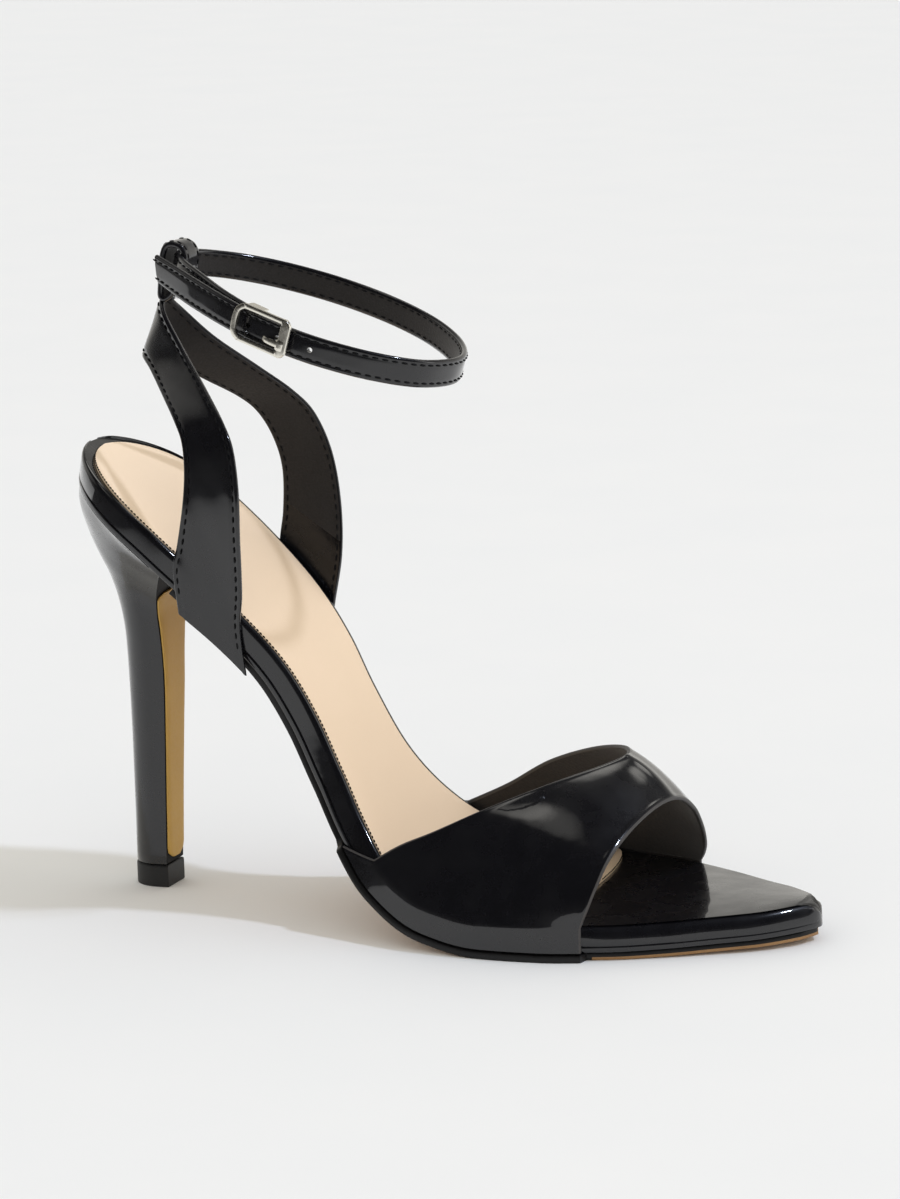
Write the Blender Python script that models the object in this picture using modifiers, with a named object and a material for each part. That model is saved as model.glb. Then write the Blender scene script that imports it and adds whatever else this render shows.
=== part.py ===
# A women's strappy stiletto sandal for the right foot, standing on its heel and forefoot.
# Metres, +Z up, toe towards +X, inner side of the foot towards +Y.
# The origin is on the floor, at the middle of the heel's top piece.
import math
from collections import namedtuple

import bpy
import bmesh
from mathutils import Vector

MM = 0.001
GAP = 0.3 * MM

# Footbed: the padded board that runs from heel to toe
SEAT_BACK = 13.9 * MM          # how far the seat reaches behind the origin
FOOTBED_RUN = 201.8 * MM       # seat back to toe tip, along the floor
SEAT_HEIGHT = 121.8 * MM       # floor to the footbed's top at the back
SEAT_WIDTH = 53.2 * MM
WAIST_WIDTH = 39.6 * MM
BALL_WIDTH = 77.2 * MM
SEAT_ROUND = 26.0 * MM         # radius of the round at the back
TOE_ROUND = 9.0 * MM           # length of the round at the tip
RIM_THICKNESS = 6.7 * MM
RIM_EDGE_ROUND = 1.4 * MM
RIM_FOOT_ROUND = 0.5 * MM
RIM_LEAN_END = 0.15            # share of the run where the rim is square to the footbed

# Outsole
OUTSOLE_THICKNESS = 2.0 * MM
OUTSOLE_INSET = 1.1 * MM       # behind the footbed's side, waist and toe
OUTSOLE_START = 0.197          # share of the run, just ahead of the heel
OUTSOLE_END = 0.992

# Sock lining
SOCK_THICKNESS = 0.8 * MM
SOCK_MARGIN = 2.0 * MM
SOCK_END = 0.715
SOCK_END_ROUND = 26.0 * MM

# Heel and what is fixed to it
LIFT_HEIGHT = 6.2 * MM
LIFT_DEPTH = 11.4 * MM
LIFT_WIDTH = 10.6 * MM
STEM_DEPTH = 11.0 * MM         # heel stem just above the lift
STEM_WIDTH = 11.0 * MM
HEEL_SEAT_END = 0.166          # share of the run where the heel's seat ends
BREAST_THICKNESS = 0.7 * MM
BREAST_BORDER = 0.7 * MM
BREAST_FIRST = 3               # the heel section where the breast piece starts

# Vamp: the wide band over the toes
UPPER_WALL = 1.3 * MM
RIM_CLEARANCE = 0.12 * MM      # added to the gap where a flat-sided wall follows the curved rim
VAMP_BACK = 0.460              # shares of the run, at the rim
VAMP_FRONT = 0.748
VAMP_HEIGHT = 36.8 * MM        # footbed to the crest of the back edge
VAMP_FULLNESS = 1.6 * MM

# Back strap: two legs that meet behind the heel, and the loop above them
LEG_BACK = 0.186               # shares of the run, at the rim
LEG_FRONT = 0.271
LEG_INNER_SHIFT = 0.022        # the inner leg's foot stands this much further forward
LEG_FOOT_RAKE_BACK = 0.032     # how far the foot's corners lie ahead of the rim's top
LEG_FOOT_RAKE_FRONT = 0.033
LEG_TUCK = 0.9 * MM            # the foot's back corner below the sole
LEG_REACH = 41.0 * MM
LEG_SPAN = 59.6 * MM
LEG_RISE = 36.2 * MM           # seat height to the top of the wishbone
LOOP_WIDTH = 7.0 * MM
LOOP_HEIGHT = 14.8 * MM
LOOP_DEPTH = 9.8 * MM
LOOP_WALL = 1.0 * MM

# Ankle strap and buckle
STRAP_WIDTH = 7.5 * MM
STRAP_WALL = 1.7 * MM
ANKLE_LENGTH = 80.8 * MM
ANKLE_WIDTH = 59.4 * MM
ANKLE_TILT = math.radians(16.7)
STRAP_IN_LOOP_ALONG = 0.49     # where the strap passes, as shares of the loop's depth and height
STRAP_IN_LOOP_UP = 0.532
HOLE_DIAMETER = 1.7 * MM
HOLE_PITCH = 10.0 * MM
BUCKLE_LENGTH = 15.4 * MM
BUCKLE_BAR = 1.7 * MM
BUCKLE_SIDE_CLEARANCE = 0.35 * MM
BUCKLE_AT = 0.826              # share of the strap's own length
PRONG_DIAMETER = 1.1 * MM
HOOK_WALL = 0.6 * MM
HOOK_LENGTH = 5.0 * MM
HOOK_AT = 0.34                 # share of the buckle's length, from its middle to the hook's middle

Profile = namedtuple("Profile", "along rise")
FOOTBED_PROFILE = [
    Profile(0.000, 1.000), Profile(0.064, 0.934), Profile(0.105, 0.884), Profile(0.163, 0.802),
    Profile(0.218, 0.713), Profile(0.271, 0.619), Profile(0.319, 0.519), Profile(0.357, 0.406),
    Profile(0.392, 0.289), Profile(0.431, 0.177), Profile(0.480, 0.079), Profile(0.546, 0.019),
    Profile(0.615, 0.000), Profile(0.770, 0.000), Profile(0.900, 0.007), Profile(1.000, 0.015),
]

# swing: how far the middle lies to the inner side, and spread: half the width,
# both as shares of half the named width
Outline = namedtuple("Outline", "along swing spread of")
FOOTBED_OUTLINE = [
    Outline(0.000, -0.03, 0.98, SEAT_WIDTH), Outline(0.080, -0.03, 1.00, SEAT_WIDTH),
    Outline(0.160, -0.03, 1.00, SEAT_WIDTH), Outline(0.220, 0.00, 0.965, SEAT_WIDTH),
    Outline(0.270, 0.03, 1.20, WAIST_WIDTH), Outline(0.320, -0.02, 1.07, WAIST_WIDTH),
    Outline(0.357, -0.06, 1.00, WAIST_WIDTH), Outline(0.392, -0.07, 1.06, WAIST_WIDTH),
    Outline(0.431, -0.02, 0.655, BALL_WIDTH), Outline(0.480, 0.02, 0.830, BALL_WIDTH),
    Outline(0.546, 0.05, 0.965, BALL_WIDTH), Outline(0.619, 0.06, 1.000, BALL_WIDTH),
    Outline(0.693, 0.07, 0.967, BALL_WIDTH), Outline(0.767, 0.10, 0.868, BALL_WIDTH),
    Outline(0.842, 0.11, 0.680, BALL_WIDTH), Outline(0.901, 0.11, 0.488, BALL_WIDTH),
    Outline(0.950, 0.12, 0.312, BALL_WIDTH), Outline(1.000, 0.145, 0.215, BALL_WIDTH),
]

# The heel's stem, from the seat down: level is a share of the height from the lift to the
# seat's front, back and front are shares of the stem's depth and half its width, tilt in degrees
HeelSection = namedtuple("HeelSection", "level back front width tilt")
HEEL_SECTIONS = [
    HeelSection(1.075, -1.445, 1.27, 3.90, 31), HeelSection(1.007, -1.33, 1.045, 3.10, 28),
    HeelSection(0.948, -1.13, 0.855, 2.50, 26), HeelSection(0.891, -0.873, 0.727, 2.04, 23),
    HeelSection(0.823, -0.673, 0.655, 1.69, 17), HeelSection(0.734, -0.545, 0.655, 1.44, 9),
    HeelSection(0.609, -0.51, 0.655, 1.25, 0), HeelSection(0.438, -0.49, 0.61, 1.145, 0),
    HeelSection(0.211, -0.49, 0.54, 1.055, 0), HeelSection(0.000, -0.50, 0.49, 1.00, 0),
]

# The vamp's two edges from the outer rim over the crest to the inner rim. along runs from the
# band's back to its front at the rim, across is a share of half the ball's width, up of the height
VampPoint = namedtuple("VampPoint", "back_along back_across back_up front_along front_across front_up")
VAMP_EDGES = [
    VampPoint(0.00, -0.85, 0.36, 1.00, -0.845, 0.05),
    VampPoint(0.12, -0.80, 0.47, 1.03, -0.835, 0.16),
    VampPoint(0.27, -0.735, 0.57, 1.06, -0.78, 0.30),
    VampPoint(0.48, -0.57, 0.72, 1.09, -0.65, 0.46),
    VampPoint(0.73, -0.30, 0.87, 1.13, -0.40, 0.60),
    VampPoint(0.90, -0.03, 0.95, 1.175, -0.08, 0.69),
    VampPoint(0.955, 0.20, 0.98, 1.21, 0.20, 0.68),
    VampPoint(0.87, 0.45, 0.965, 1.22, 0.46, 0.54),
    VampPoint(0.67, 0.67, 0.87, 1.21, 0.66, 0.36),
    VampPoint(0.42, 0.83, 0.69, 1.19, 0.80, 0.20),
    VampPoint(0.20, 0.93, 0.45, 1.155, 0.90, 0.09),
    VampPoint(0.00, 0.965, 0.26, 1.12, 0.955, 0.02),
]

# One leg of the back strap above the rim: along shares of the reach from the seat's back,
# across of half the span, up of the rise, for the strap's lower and upper edge. ahead is how
# much further forward the inner leg stands, as a share of the reach
LegSection = namedtuple("LegSection", "low_along low_across low_up high_along high_across high_up ahead")
LEG_SECTIONS = [
    LegSection(0.925, 0.912, -0.600, 1.356, 0.912, -0.930, 0.100),
    LegSection(0.975, 0.946, -0.290, 1.382, 0.992, -0.530, 0.050),
    LegSection(0.983, 0.922, -0.050, 1.386, 1.000, -0.160, -0.010),
    LegSection(0.944, 0.846, 0.150, 1.336, 0.940, 0.136, -0.055),
    LegSection(0.851, 0.725, 0.286, 1.230, 0.826, 0.320, -0.065),
    LegSection(0.693, 0.503, 0.428, 1.046, 0.631, 0.520, -0.060),
    LegSection(0.522, 0.260, 0.570, 0.803, 0.380, 0.765, -0.040),
    LegSection(0.412, 0.105, 0.640, 0.600, 0.185, 1.010, -0.012),
    LegSection(0.388, 0.000, 0.660, 0.546, 0.000, 1.115, 0.000),
]

# The loop's closed band, seen from the side, as shares of the loop's depth and height
LoopPoint = namedtuple("LoopPoint", "along up")
LOOP_PATH = [
    LoopPoint(0.02, 0.15), LoopPoint(0.05, 0.45), LoopPoint(0.07, 0.75), LoopPoint(0.22, 0.95),
    LoopPoint(0.52, 1.00), LoopPoint(0.82, 0.93), LoopPoint(0.96, 0.74), LoopPoint(0.92, 0.50),
    LoopPoint(0.78, 0.28), LoopPoint(0.60, 0.08), LoopPoint(0.42, -0.07), LoopPoint(0.20, -0.14),
    LoopPoint(0.02, -0.06),
]

# The ankle strap's route from its end inside the buckle, back through the loop, round the
# ankle and under the buckle to the free tail, as shares of the ankle's length and width.
# lean is a share of the strap's tilt by which its top edge tips towards the toe
StrapPoint = namedtuple("StrapPoint", "along across lean")
STRAP_ROUTE = [
    StrapPoint(0.440, -0.456, 1.0), StrapPoint(0.370, -0.420, 1.0), StrapPoint(0.270, -0.345, 1.0),
    StrapPoint(0.160, -0.235, 1.0), StrapPoint(0.060, -0.130, 1.0), StrapPoint(0.004, -0.035, 1.0),
    StrapPoint(0.004, 0.045, 1.0), StrapPoint(0.050, 0.170, 1.0), StrapPoint(0.135, 0.300, 1.0),
    StrapPoint(0.260, 0.405, 1.0), StrapPoint(0.420, 0.466, 1.0), StrapPoint(0.600, 0.458, 1.0),
    StrapPoint(0.770, 0.372, 1.0), StrapPoint(0.905, 0.215, 1.0), StrapPoint(0.985, 0.030, 1.0),
    StrapPoint(0.998, -0.140, 1.0), StrapPoint(0.945, -0.330, 1.0), StrapPoint(0.830, -0.462, 1.0),
    StrapPoint(0.690, -0.530, 1.0), StrapPoint(0.560, -0.540, 1.0), StrapPoint(0.440, -0.510, 1.0),
    StrapPoint(0.320, -0.446, 1.0), StrapPoint(0.180, -0.345, 0.8), StrapPoint(0.085, -0.265, 0.3),
    StrapPoint(0.000, -0.193, -0.3),
]


def interpolate(xs, ys, x):
    """A smooth curve through the points that never overshoots them."""
    last = len(xs) - 1
    if x <= xs[0]:
        return ys[0]
    if x >= xs[last]:
        return ys[last]
    k = max(i for i in range(last) if xs[i] <= x)
    step = [xs[i + 1] - xs[i] for i in range(last)]
    rate = [(ys[i + 1] - ys[i]) / step[i] for i in range(last)]

    def slope(i):
        if i == 0:
            return rate[0]
        if i == last:
            return rate[last - 1]
        if rate[i - 1] * rate[i] <= 0.0:
            return 0.0
        before = 2.0 * step[i] + step[i - 1]
        after = step[i] + 2.0 * step[i - 1]
        return (before + after) / (before / rate[i - 1] + after / rate[i])

    t = (x - xs[k]) / step[k]
    return ((2 * t ** 3 - 3 * t ** 2 + 1) * ys[k] + (t ** 3 - 2 * t ** 2 + t) * step[k] * slope(k)
            + (3 * t ** 2 - 2 * t ** 3) * ys[k + 1] + (t ** 3 - t ** 2) * step[k] * slope(k + 1))


def spline_through(points, per_span, closed=False):
    """Points along a Catmull-Rom curve through the given vectors."""
    ends = [points[0] * 2 - points[1]] + points + [points[-1] * 2 - points[-2]]
    if closed:
        ends = [points[-1]] + points + points[:2]
    out = []
    for k in range(1, len(ends) - 2):
        a, b, c, d = ends[k - 1:k + 3]
        for j in range(per_span):
            t = j / per_span
            out.append(0.5 * ((2 * b) + (c - a) * t + (2 * a - 5 * b + 4 * c - d) * t ** 2
                              + (3 * b - a - 3 * c + d) * t ** 3))
    if not closed:
        out.append(points[-1].copy())
    return out


def at_length(path, length):
    """Place and direction at a distance along a path."""
    walked = 0.0
    for a, b in zip(path, path[1:]):
        span = (b - a).length
        if walked + span >= length or b is path[-1]:
            direction = (b - a) / span
            return a + direction * (length - walked), direction
        walked += span
    return path[-1], (path[-1] - path[-2]).normalized()


def path_length(path):
    return sum((b - a).length for a, b in zip(path, path[1:]))


def ball_top():
    return OUTSOLE_THICKNESS + GAP + RIM_THICKNESS


def footbed_height(along):
    rise = interpolate([p.along for p in FOOTBED_PROFILE], [p.rise for p in FOOTBED_PROFILE], along)
    return ball_top() + rise * (SEAT_HEIGHT - ball_top())


def footbed_slope(along):
    step = 0.004
    drop = footbed_height(along - step) - footbed_height(along + step)
    ahead = min(along + step, 1.0) - max(along - step, 0.0)
    return math.atan2(drop, ahead * FOOTBED_RUN)


def footbed_sides(along, inset=0.0):
    """The outer and inner side's y at a station."""
    xs = [p.along for p in FOOTBED_OUTLINE]
    middle = interpolate(xs, [p.swing * p.of / 2 for p in FOOTBED_OUTLINE], along)
    half = interpolate(xs, [p.spread * p.of / 2 for p in FOOTBED_OUTLINE], along)
    heel = min(1.0, max(0.0, along) * FOOTBED_RUN / SEAT_ROUND)
    toe = min(1.0, max(0.0, 1.0 - along) * FOOTBED_RUN / TOE_ROUND)
    half *= math.sqrt(1 - (1 - heel) ** 2) * math.sqrt(1 - (1 - toe) ** 2)
    half = max(half - inset, 0.2 * MM)
    return middle - half, middle + half


def on_footbed(along, y, depth=0.0):
    """A point at a station, depth below the footbed's top and square to it."""
    lean = footbed_slope(along) * (0.3 + 0.7 * min(1.0, along / RIM_LEAN_END))
    x = along * FOOTBED_RUN - SEAT_BACK
    return Vector((x - depth * math.sin(lean), y, footbed_height(along) - depth * math.cos(lean)))


def stations(start, end, count):
    """Shares of the run, closer together towards both ends."""
    out = []
    for k in range(count + 1):
        t = k / count
        t = 0.45 * t + 0.55 * (0.5 - 0.5 * math.cos(math.pi * t))
        out.append(start + (end - start) * t)
    return out


def add_object(name, mesh, material, smooth_angle=35.0):
    obj = bpy.data.objects.new(name, mesh)
    parts.objects.link(obj)
    mesh.materials.append(material)
    mesh.shade_smooth()
    mesh.set_sharp_from_angle(angle=math.radians(smooth_angle))
    return obj


def loft(name, rings, material):
    """A closed solid through rings with the same number of points."""
    bm = bmesh.new()
    rows = [[bm.verts.new(p) for p in ring] for ring in rings]
    count = len(rows[0])
    for a, b in zip(rows, rows[1:]):
        for k in range(count):
            n = (k + 1) % count
            bm.faces.new((a[k], a[n], b[n], b[k]))
    bm.faces.new(rows[0])
    bm.faces.new(rows[-1])
    bmesh.ops.recalc_face_normals(bm, faces=bm.faces)
    mesh = bpy.data.meshes.new(name)
    bm.to_mesh(mesh)
    bm.free()
    return add_object(name, mesh, material)


def sheet(name, rows, thickness, material, closed=False):
    """A wall: an open grid of points, or a ring of rows, thickened behind its face."""
    bm = bmesh.new()
    grid = [[bm.verts.new(p) for p in row] for row in rows]
    if closed:
        grid.append(grid[0])
    for a, b in zip(grid, grid[1:]):
        for k in range(len(a) - 1):
            bm.faces.new((a[k], a[k + 1], b[k + 1], b[k]))
    mesh = bpy.data.meshes.new(name)
    bm.to_mesh(mesh)
    bm.free()
    obj = add_object(name, mesh, material)
    wall = obj.modifiers.new("wall", "SOLIDIFY")
    wall.thickness = thickness
    wall.offset = -1.0
    wall.use_even_offset = True
    return obj


def bake(obj):
    """Turn an object and its modifiers into a plain mesh."""
    bpy.context.view_layer.update()
    ready = obj.evaluated_get(bpy.context.evaluated_depsgraph_get())
    mesh = bpy.data.meshes.new_from_object(ready)
    obj.modifiers.clear()
    obj.data = mesh
    return obj


def combine(obj, other, operation):
    """Join or cut an object with another one, which is then removed."""
    cut = obj.modifiers.new("combine", "BOOLEAN")
    cut.operation = operation
    cut.object = other
    cut.solver = "EXACT"
    bake(obj)
    bpy.data.objects.remove(other)
    return obj


def make_material(name, colour, roughness, metallic=0.0):
    material = bpy.data.materials.new(name)
    material.use_nodes = True
    shader = material.node_tree.nodes["Principled BSDF"]
    shader.inputs["Base Color"].default_value = (*colour, 1.0)
    shader.inputs["Roughness"].default_value = roughness
    shader.inputs["Metallic"].default_value = metallic
    return material


def board_ring(along, depth, thickness, inset, round_top, round_foot):
    """One section across a board that follows the footbed."""
    low, high = footbed_sides(along, inset)
    half = (high - low) / 2
    top = min(round_top, 0.8 * half)
    foot = min(round_foot, 0.8 * half)
    profile = [
        (low, top), (low + 0.3 * top, 0.3 * top), (low + top, 0.0),
        (high - top, 0.0), (high - 0.3 * top, 0.3 * top), (high, top),
        (high, thickness - foot), (high - foot, thickness), (low + foot, thickness),
        (low, thickness - foot),
    ]
    return [on_footbed(along, y, depth + down) for y, down in profile]


def board_stations():
    """The stations that the footbed and the outsole share, with the sole's steps at the vamp."""
    places = stations(0.0015, 0.9985, 40)
    step = 0.0015
    for edge in (VAMP_BACK, VAMP_FRONT):
        places = [a for a in places if abs(a - edge) > 4 * step] + [edge - step, edge + step]
    for end in (OUTSOLE_START, OUTSOLE_END):
        places = [a for a in places if abs(a - end) > 0.002] + [end]
    return sorted(places)


def make_footbed():
    rings = [board_ring(a, 0.0, RIM_THICKNESS, 0.0, RIM_EDGE_ROUND, RIM_FOOT_ROUND)
             for a in board_stations()]
    return loft("footbed", rings, PATENT)


def outsole_inset(along):
    """The sole stands out to the vamp's face under the vamp, and is set back elsewhere."""
    under_vamp = VAMP_BACK < along < VAMP_FRONT
    return -(GAP + UPPER_WALL) if under_vamp else OUTSOLE_INSET


def make_outsole():
    depth = RIM_THICKNESS + GAP
    edge_round = 0.3 * MM
    rings = [board_ring(a, depth, OUTSOLE_THICKNESS, outsole_inset(a), edge_round, edge_round)
             for a in board_stations() if OUTSOLE_START <= a <= OUTSOLE_END]
    return loft("outsole", rings, SOLE)


def make_sock_lining():
    rings = []
    places = [a for a in board_stations() if 0.010 < a < SOCK_END - 0.03]
    for along in places + [SOCK_END - share * 0.03 for share in (0.75, 0.4, 0.15, 0.0)]:
        low, high = footbed_sides(along, SOCK_MARGIN)
        left = min(1.0, (SOCK_END - along) * FOOTBED_RUN / SOCK_END_ROUND + 0.02)
        narrow = math.sqrt(1 - (1 - left) ** 2)
        middle, half = (low + high) / 2, (high - low) / 2 * narrow
        ring = [(middle - half, 0.0), (middle - half, 1.0), (middle + half, 1.0), (middle + half, 0.0)]
        rings.append([on_footbed(along, y, -(GAP + up * SOCK_THICKNESS)) for y, up in ring])
    return loft("sock_lining", rings, SOCK)


def heel_outline(count=9):
    """A round back and a straight front: shares of depth from the back, and of half width."""
    side = []
    for k in range(count):
        t = 0.5 - 0.5 * math.cos(math.pi * k / (count - 1))
        reach = min(1.0, t / 0.62)
        side.append((t, math.sqrt(1 - (1 - reach) ** 2) * (1.0 - 0.10 * max(0.0, t - 0.62) / 0.38)))
    return [(t, -w) for t, w in side] + [(t, w) for t, w in reversed(side[1:])]


def heel_seat_front():
    return on_footbed(HEEL_SEAT_END, 0.0, RIM_THICKNESS + GAP)


def heel_frame(section):
    """The back and front point of a section of the stem, at the middle."""
    stem_top = heel_seat_front().z
    z = LIFT_HEIGHT + GAP + section.level * (stem_top - LIFT_HEIGHT - GAP)
    back, front = section.back * STEM_DEPTH, section.front * STEM_DEPTH
    tip = math.tan(math.radians(section.tilt)) * (front - back) / 2
    return Vector((back, 0, z + tip)), Vector((front, 0, z - tip))


def make_heel():
    outline = heel_outline()
    seat = []
    for t, w in outline:
        along = 0.006 + (HEEL_SEAT_END - 0.006) * t
        low, high = footbed_sides(along, RIM_FOOT_ROUND)
        y = low * -w if w < 0 else high * w
        if 0 < t < 1:
            y = low if w < 0 else high
        seat.append(on_footbed(along, y, RIM_THICKNESS + GAP))
    rings = [seat]
    for section in HEEL_SECTIONS:
        back, front = heel_frame(section)
        half = section.width * STEM_WIDTH / 2
        rings.append([back.lerp(front, t) + Vector((0, w * half, 0)) for t, w in outline])
    return loft("heel", rings, PATENT)


def make_heel_breast():
    rings = []
    sections = HEEL_SECTIONS[BREAST_FIRST:]
    for k, section in enumerate(sections):
        front = heel_frame(section)[1]
        half = 0.90 * section.width * STEM_WIDTH / 2 - BREAST_BORDER
        if k == 0:
            half *= 0.82
        if k == len(sections) - 1:
            front.z += 1.2 * MM
            half *= 0.55
        near = front + Vector((GAP, 0, 0))
        far = near + Vector((BREAST_THICKNESS, 0, 0))
        rings.append([near + Vector((0, -half, 0)), near + Vector((0, half, 0)),
                      far + Vector((0, half, 0)), far + Vector((0, -half, 0))])
    return loft("heel_breast", rings, TAN)


def make_heel_lift():
    rings = []
    for z, grow in ((0.0, 0.96), (0.4 * MM, 1.0), (LIFT_HEIGHT - 0.3 * MM, 1.0), (LIFT_HEIGHT, 0.97)):
        rings.append([Vector(((t - 0.5) * LIFT_DEPTH * grow, w * LIFT_WIDTH / 2 * grow, z))
                      for t, w in heel_outline()])
    return loft("heel_lift", rings, RUBBER)


def rim_face(along, side, depth):
    """A point on an upper's outer face where it lies on the footbed's side."""
    low, high = footbed_sides(along)
    stand_off = GAP + RIM_CLEARANCE + UPPER_WALL
    y = low - stand_off if side < 0 else high + stand_off
    return on_footbed(along, y, depth)


def vamp_edge_point(point, front):
    along = point.front_along if front else point.back_along
    across = point.front_across if front else point.back_across
    up = point.front_up if front else point.back_up
    x = (VAMP_BACK + along * (VAMP_FRONT - VAMP_BACK)) * FOOTBED_RUN - SEAT_BACK
    return Vector((x, across * BALL_WIDTH / 2, ball_top() + up * VAMP_HEIGHT))


def vamp_edge(front, per_span):
    return spline_through([vamp_edge_point(p, front) for p in VAMP_EDGES], per_span)


def vamp_shares():
    """Shares of the band from its back to its front, at the footbed's own stations."""
    inside = [a for a in board_stations() if VAMP_BACK + 0.004 < a < VAMP_FRONT - 0.004]
    return [(a - VAMP_BACK) / (VAMP_FRONT - VAMP_BACK) for a in [VAMP_BACK] + inside + [VAMP_FRONT]]


def vamp_rows(per_span=2):
    """The vamp's outer face: rows from the outer rim over the crest to the inner rim."""
    back_edge, front_edge = vamp_edge(False, per_span), vamp_edge(True, per_span)
    last = len(back_edge) - 1
    inner_front = VAMP_FRONT + 0.12 * (VAMP_FRONT - VAMP_BACK)
    foot = RIM_THICKNESS - 0.3 * MM
    shares = vamp_shares()
    rows = []
    for k, (back, front) in enumerate(zip(back_edge, front_edge)):
        g = k / last
        side, end = (-1, VAMP_FRONT) if g < 0.5 else (1, inner_front)
        hold = max(0.0, 1.0 - 3.2 * min(g, 1.0 - g)) ** 1.5
        row = []
        for u in shares:
            point = back.lerp(front, u)
            rim = rim_face(VAMP_BACK + (end - VAMP_BACK) * u, side, 0.0)
            edge = back_edge[0 if side < 0 else last].lerp(front_edge[0 if side < 0 else last], u)
            full = VAMP_FULLNESS * 4 * u * (1 - u) * math.sin(math.pi * g)
            point += (rim - edge) * hold + Vector((0, side * full * abs(2 * g - 1), full))
            row.append(point)
        rows.append(row)
    for side, end in ((-1, VAMP_FRONT), (1, inner_front)):
        for depth in (RIM_EDGE_ROUND, foot):
            row = [rim_face(VAMP_BACK + (end - VAMP_BACK) * u, side, depth) for u in shares]
            rows.insert(0 if side < 0 else len(rows), row)
    return rows


def make_vamp():
    return sheet("vamp", vamp_rows(), UPPER_WALL, PATENT)


def leg_rows(side, across):
    """One leg's outer face: rows from the sole up to the middle behind the heel."""
    shift = LEG_INNER_SHIFT if side > 0 else 0.0
    sole = RIM_THICKNESS + GAP + OUTSOLE_THICKNESS
    shares = [j / across for j in range(across + 1)]
    foot, rim = [], []
    for t in shares:
        back = LEG_BACK + shift + (LEG_FRONT - LEG_BACK) * t
        rake = LEG_FOOT_RAKE_BACK + (LEG_FOOT_RAKE_FRONT - LEG_FOOT_RAKE_BACK) * t
        foot.append(rim_face(back + rake, side, sole + LEG_TUCK * (1 - t)))
        rim.append(rim_face(back, side, RIM_EDGE_ROUND))
    rows = [foot, rim]
    for s in LEG_SECTIONS:
        x = (s.ahead if side > 0 else 0.0) * LEG_REACH - SEAT_BACK
        half = side * LEG_SPAN / 2
        low = Vector((x + s.low_along * LEG_REACH, s.low_across * half, SEAT_HEIGHT + s.low_up * LEG_RISE))
        high = Vector((x + s.high_along * LEG_REACH, s.high_across * half, SEAT_HEIGHT + s.high_up * LEG_RISE))
        rows.append([low.lerp(high, t) for t in shares])
    return rows


def back_strap_rows(per_span=2, across=4):
    """The wishbone's outer face from the outer foot round the back to the inner foot."""
    rows = leg_rows(-1, across) + leg_rows(1, across)[-2::-1]
    columns = [spline_through([row[j] for row in rows], per_span) for j in range(across + 1)]
    return [[column[k] for column in columns] for k in range(len(columns[0]))]


def loop_root():
    """Where the loop's band leaves the top of the wishbone."""
    top = LEG_SECTIONS[-1]
    return Vector((top.high_along * LEG_REACH - SEAT_BACK, 0, SEAT_HEIGHT + top.high_up * LEG_RISE))


def loop_path(per_span=2):
    root = loop_root()
    return spline_through([root + Vector((p.along * LOOP_DEPTH, 0, p.up * LOOP_HEIGHT))
                           for p in LOOP_PATH], per_span, closed=True)


def make_back_strap():
    strap = bake(sheet("back_strap", back_strap_rows(), UPPER_WALL, PATENT))
    half = LOOP_WIDTH / 2
    rows = [[p + Vector((0, half, 0)), p, p - Vector((0, half, 0))] for p in loop_path()]
    loop = sheet("loop", rows, LOOP_WALL, PATENT, closed=True)
    return combine(strap, bake(loop), "UNION")


def strap_plane(along, across):
    """A point of the tilted plane that the ankle strap's middle follows."""
    start = loop_root() + Vector((STRAP_IN_LOOP_ALONG * LOOP_DEPTH, 0, STRAP_IN_LOOP_UP * LOOP_HEIGHT))
    run = along * ANKLE_LENGTH
    return start + Vector((run, across * ANKLE_WIDTH, -run * math.tan(ANKLE_TILT)))


def strap_up(lean=1.0):
    return Vector((math.sin(lean * ANKLE_TILT), 0, math.cos(lean * ANKLE_TILT)))


def strap_path(per_span=4):
    return spline_through([strap_plane(p.along, p.across) for p in STRAP_ROUTE], per_span)


def strap_rows(path):
    """The strap's outer face: rows from its lower to its upper edge, one for each point."""
    leans = spline_through([Vector((p.lean, 0, 0)) for p in STRAP_ROUTE],
                           (len(path) - 1) // (len(STRAP_ROUTE) - 1))
    rows = []
    for k, (point, lean) in enumerate(zip(path, leans)):
        up = strap_up(lean.x)
        ahead = path[min(k + 1, len(path) - 1)] - path[max(k - 1, 0)]
        face = point + up.cross(ahead.normalized()) * (STRAP_WALL / 2)
        rows.append([face - up * (STRAP_WIDTH / 2), face, face + up * (STRAP_WIDTH / 2)])
    return rows


def cylinder(name, centre, axis, radius, length, sides=10):
    bpy.ops.mesh.primitive_cylinder_add(vertices=sides, radius=radius, depth=length, location=centre,
                                        rotation=axis.to_track_quat("Z", "Y").to_euler())
    obj = bpy.context.active_object
    obj.name = name
    for owner in list(obj.users_collection):
        owner.objects.unlink(obj)
    cutters.objects.link(obj)
    obj.hide_render = True
    obj.display_type = "WIRE"
    return obj


def buckle_frame_axes():
    """The buckle's middle on the strap, and its directions along, up and outward."""
    path = strap_path()
    centre, along = at_length(path, BUCKLE_AT * path_length(path))
    up = strap_up()
    return centre, along, up, up.cross(along).normalized()


def prong_place():
    """How far past the buckle's middle, towards its right bar, the prong enters the strap."""
    return -0.30 * BUCKLE_LENGTH


def make_ankle_strap():
    path = strap_path()
    strap = bake(sheet("ankle_strap", strap_rows(path), STRAP_WALL, PATENT))
    middle = BUCKLE_AT * path_length(path) + prong_place()
    for k in (-1, 0, 1):
        centre, along = at_length(path, middle + k * HOLE_PITCH)
        outward = strap_up().cross(along).normalized()
        punch = cylinder("punch", centre, outward, HOLE_DIAMETER / 2, 3 * STRAP_WALL)
        combine(strap, punch, "DIFFERENCE")
    return strap


def buckle_place(along, up, out):
    centre, forward, upward, outward = buckle_frame_axes()
    return centre + forward * along + upward * up + outward * out


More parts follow.
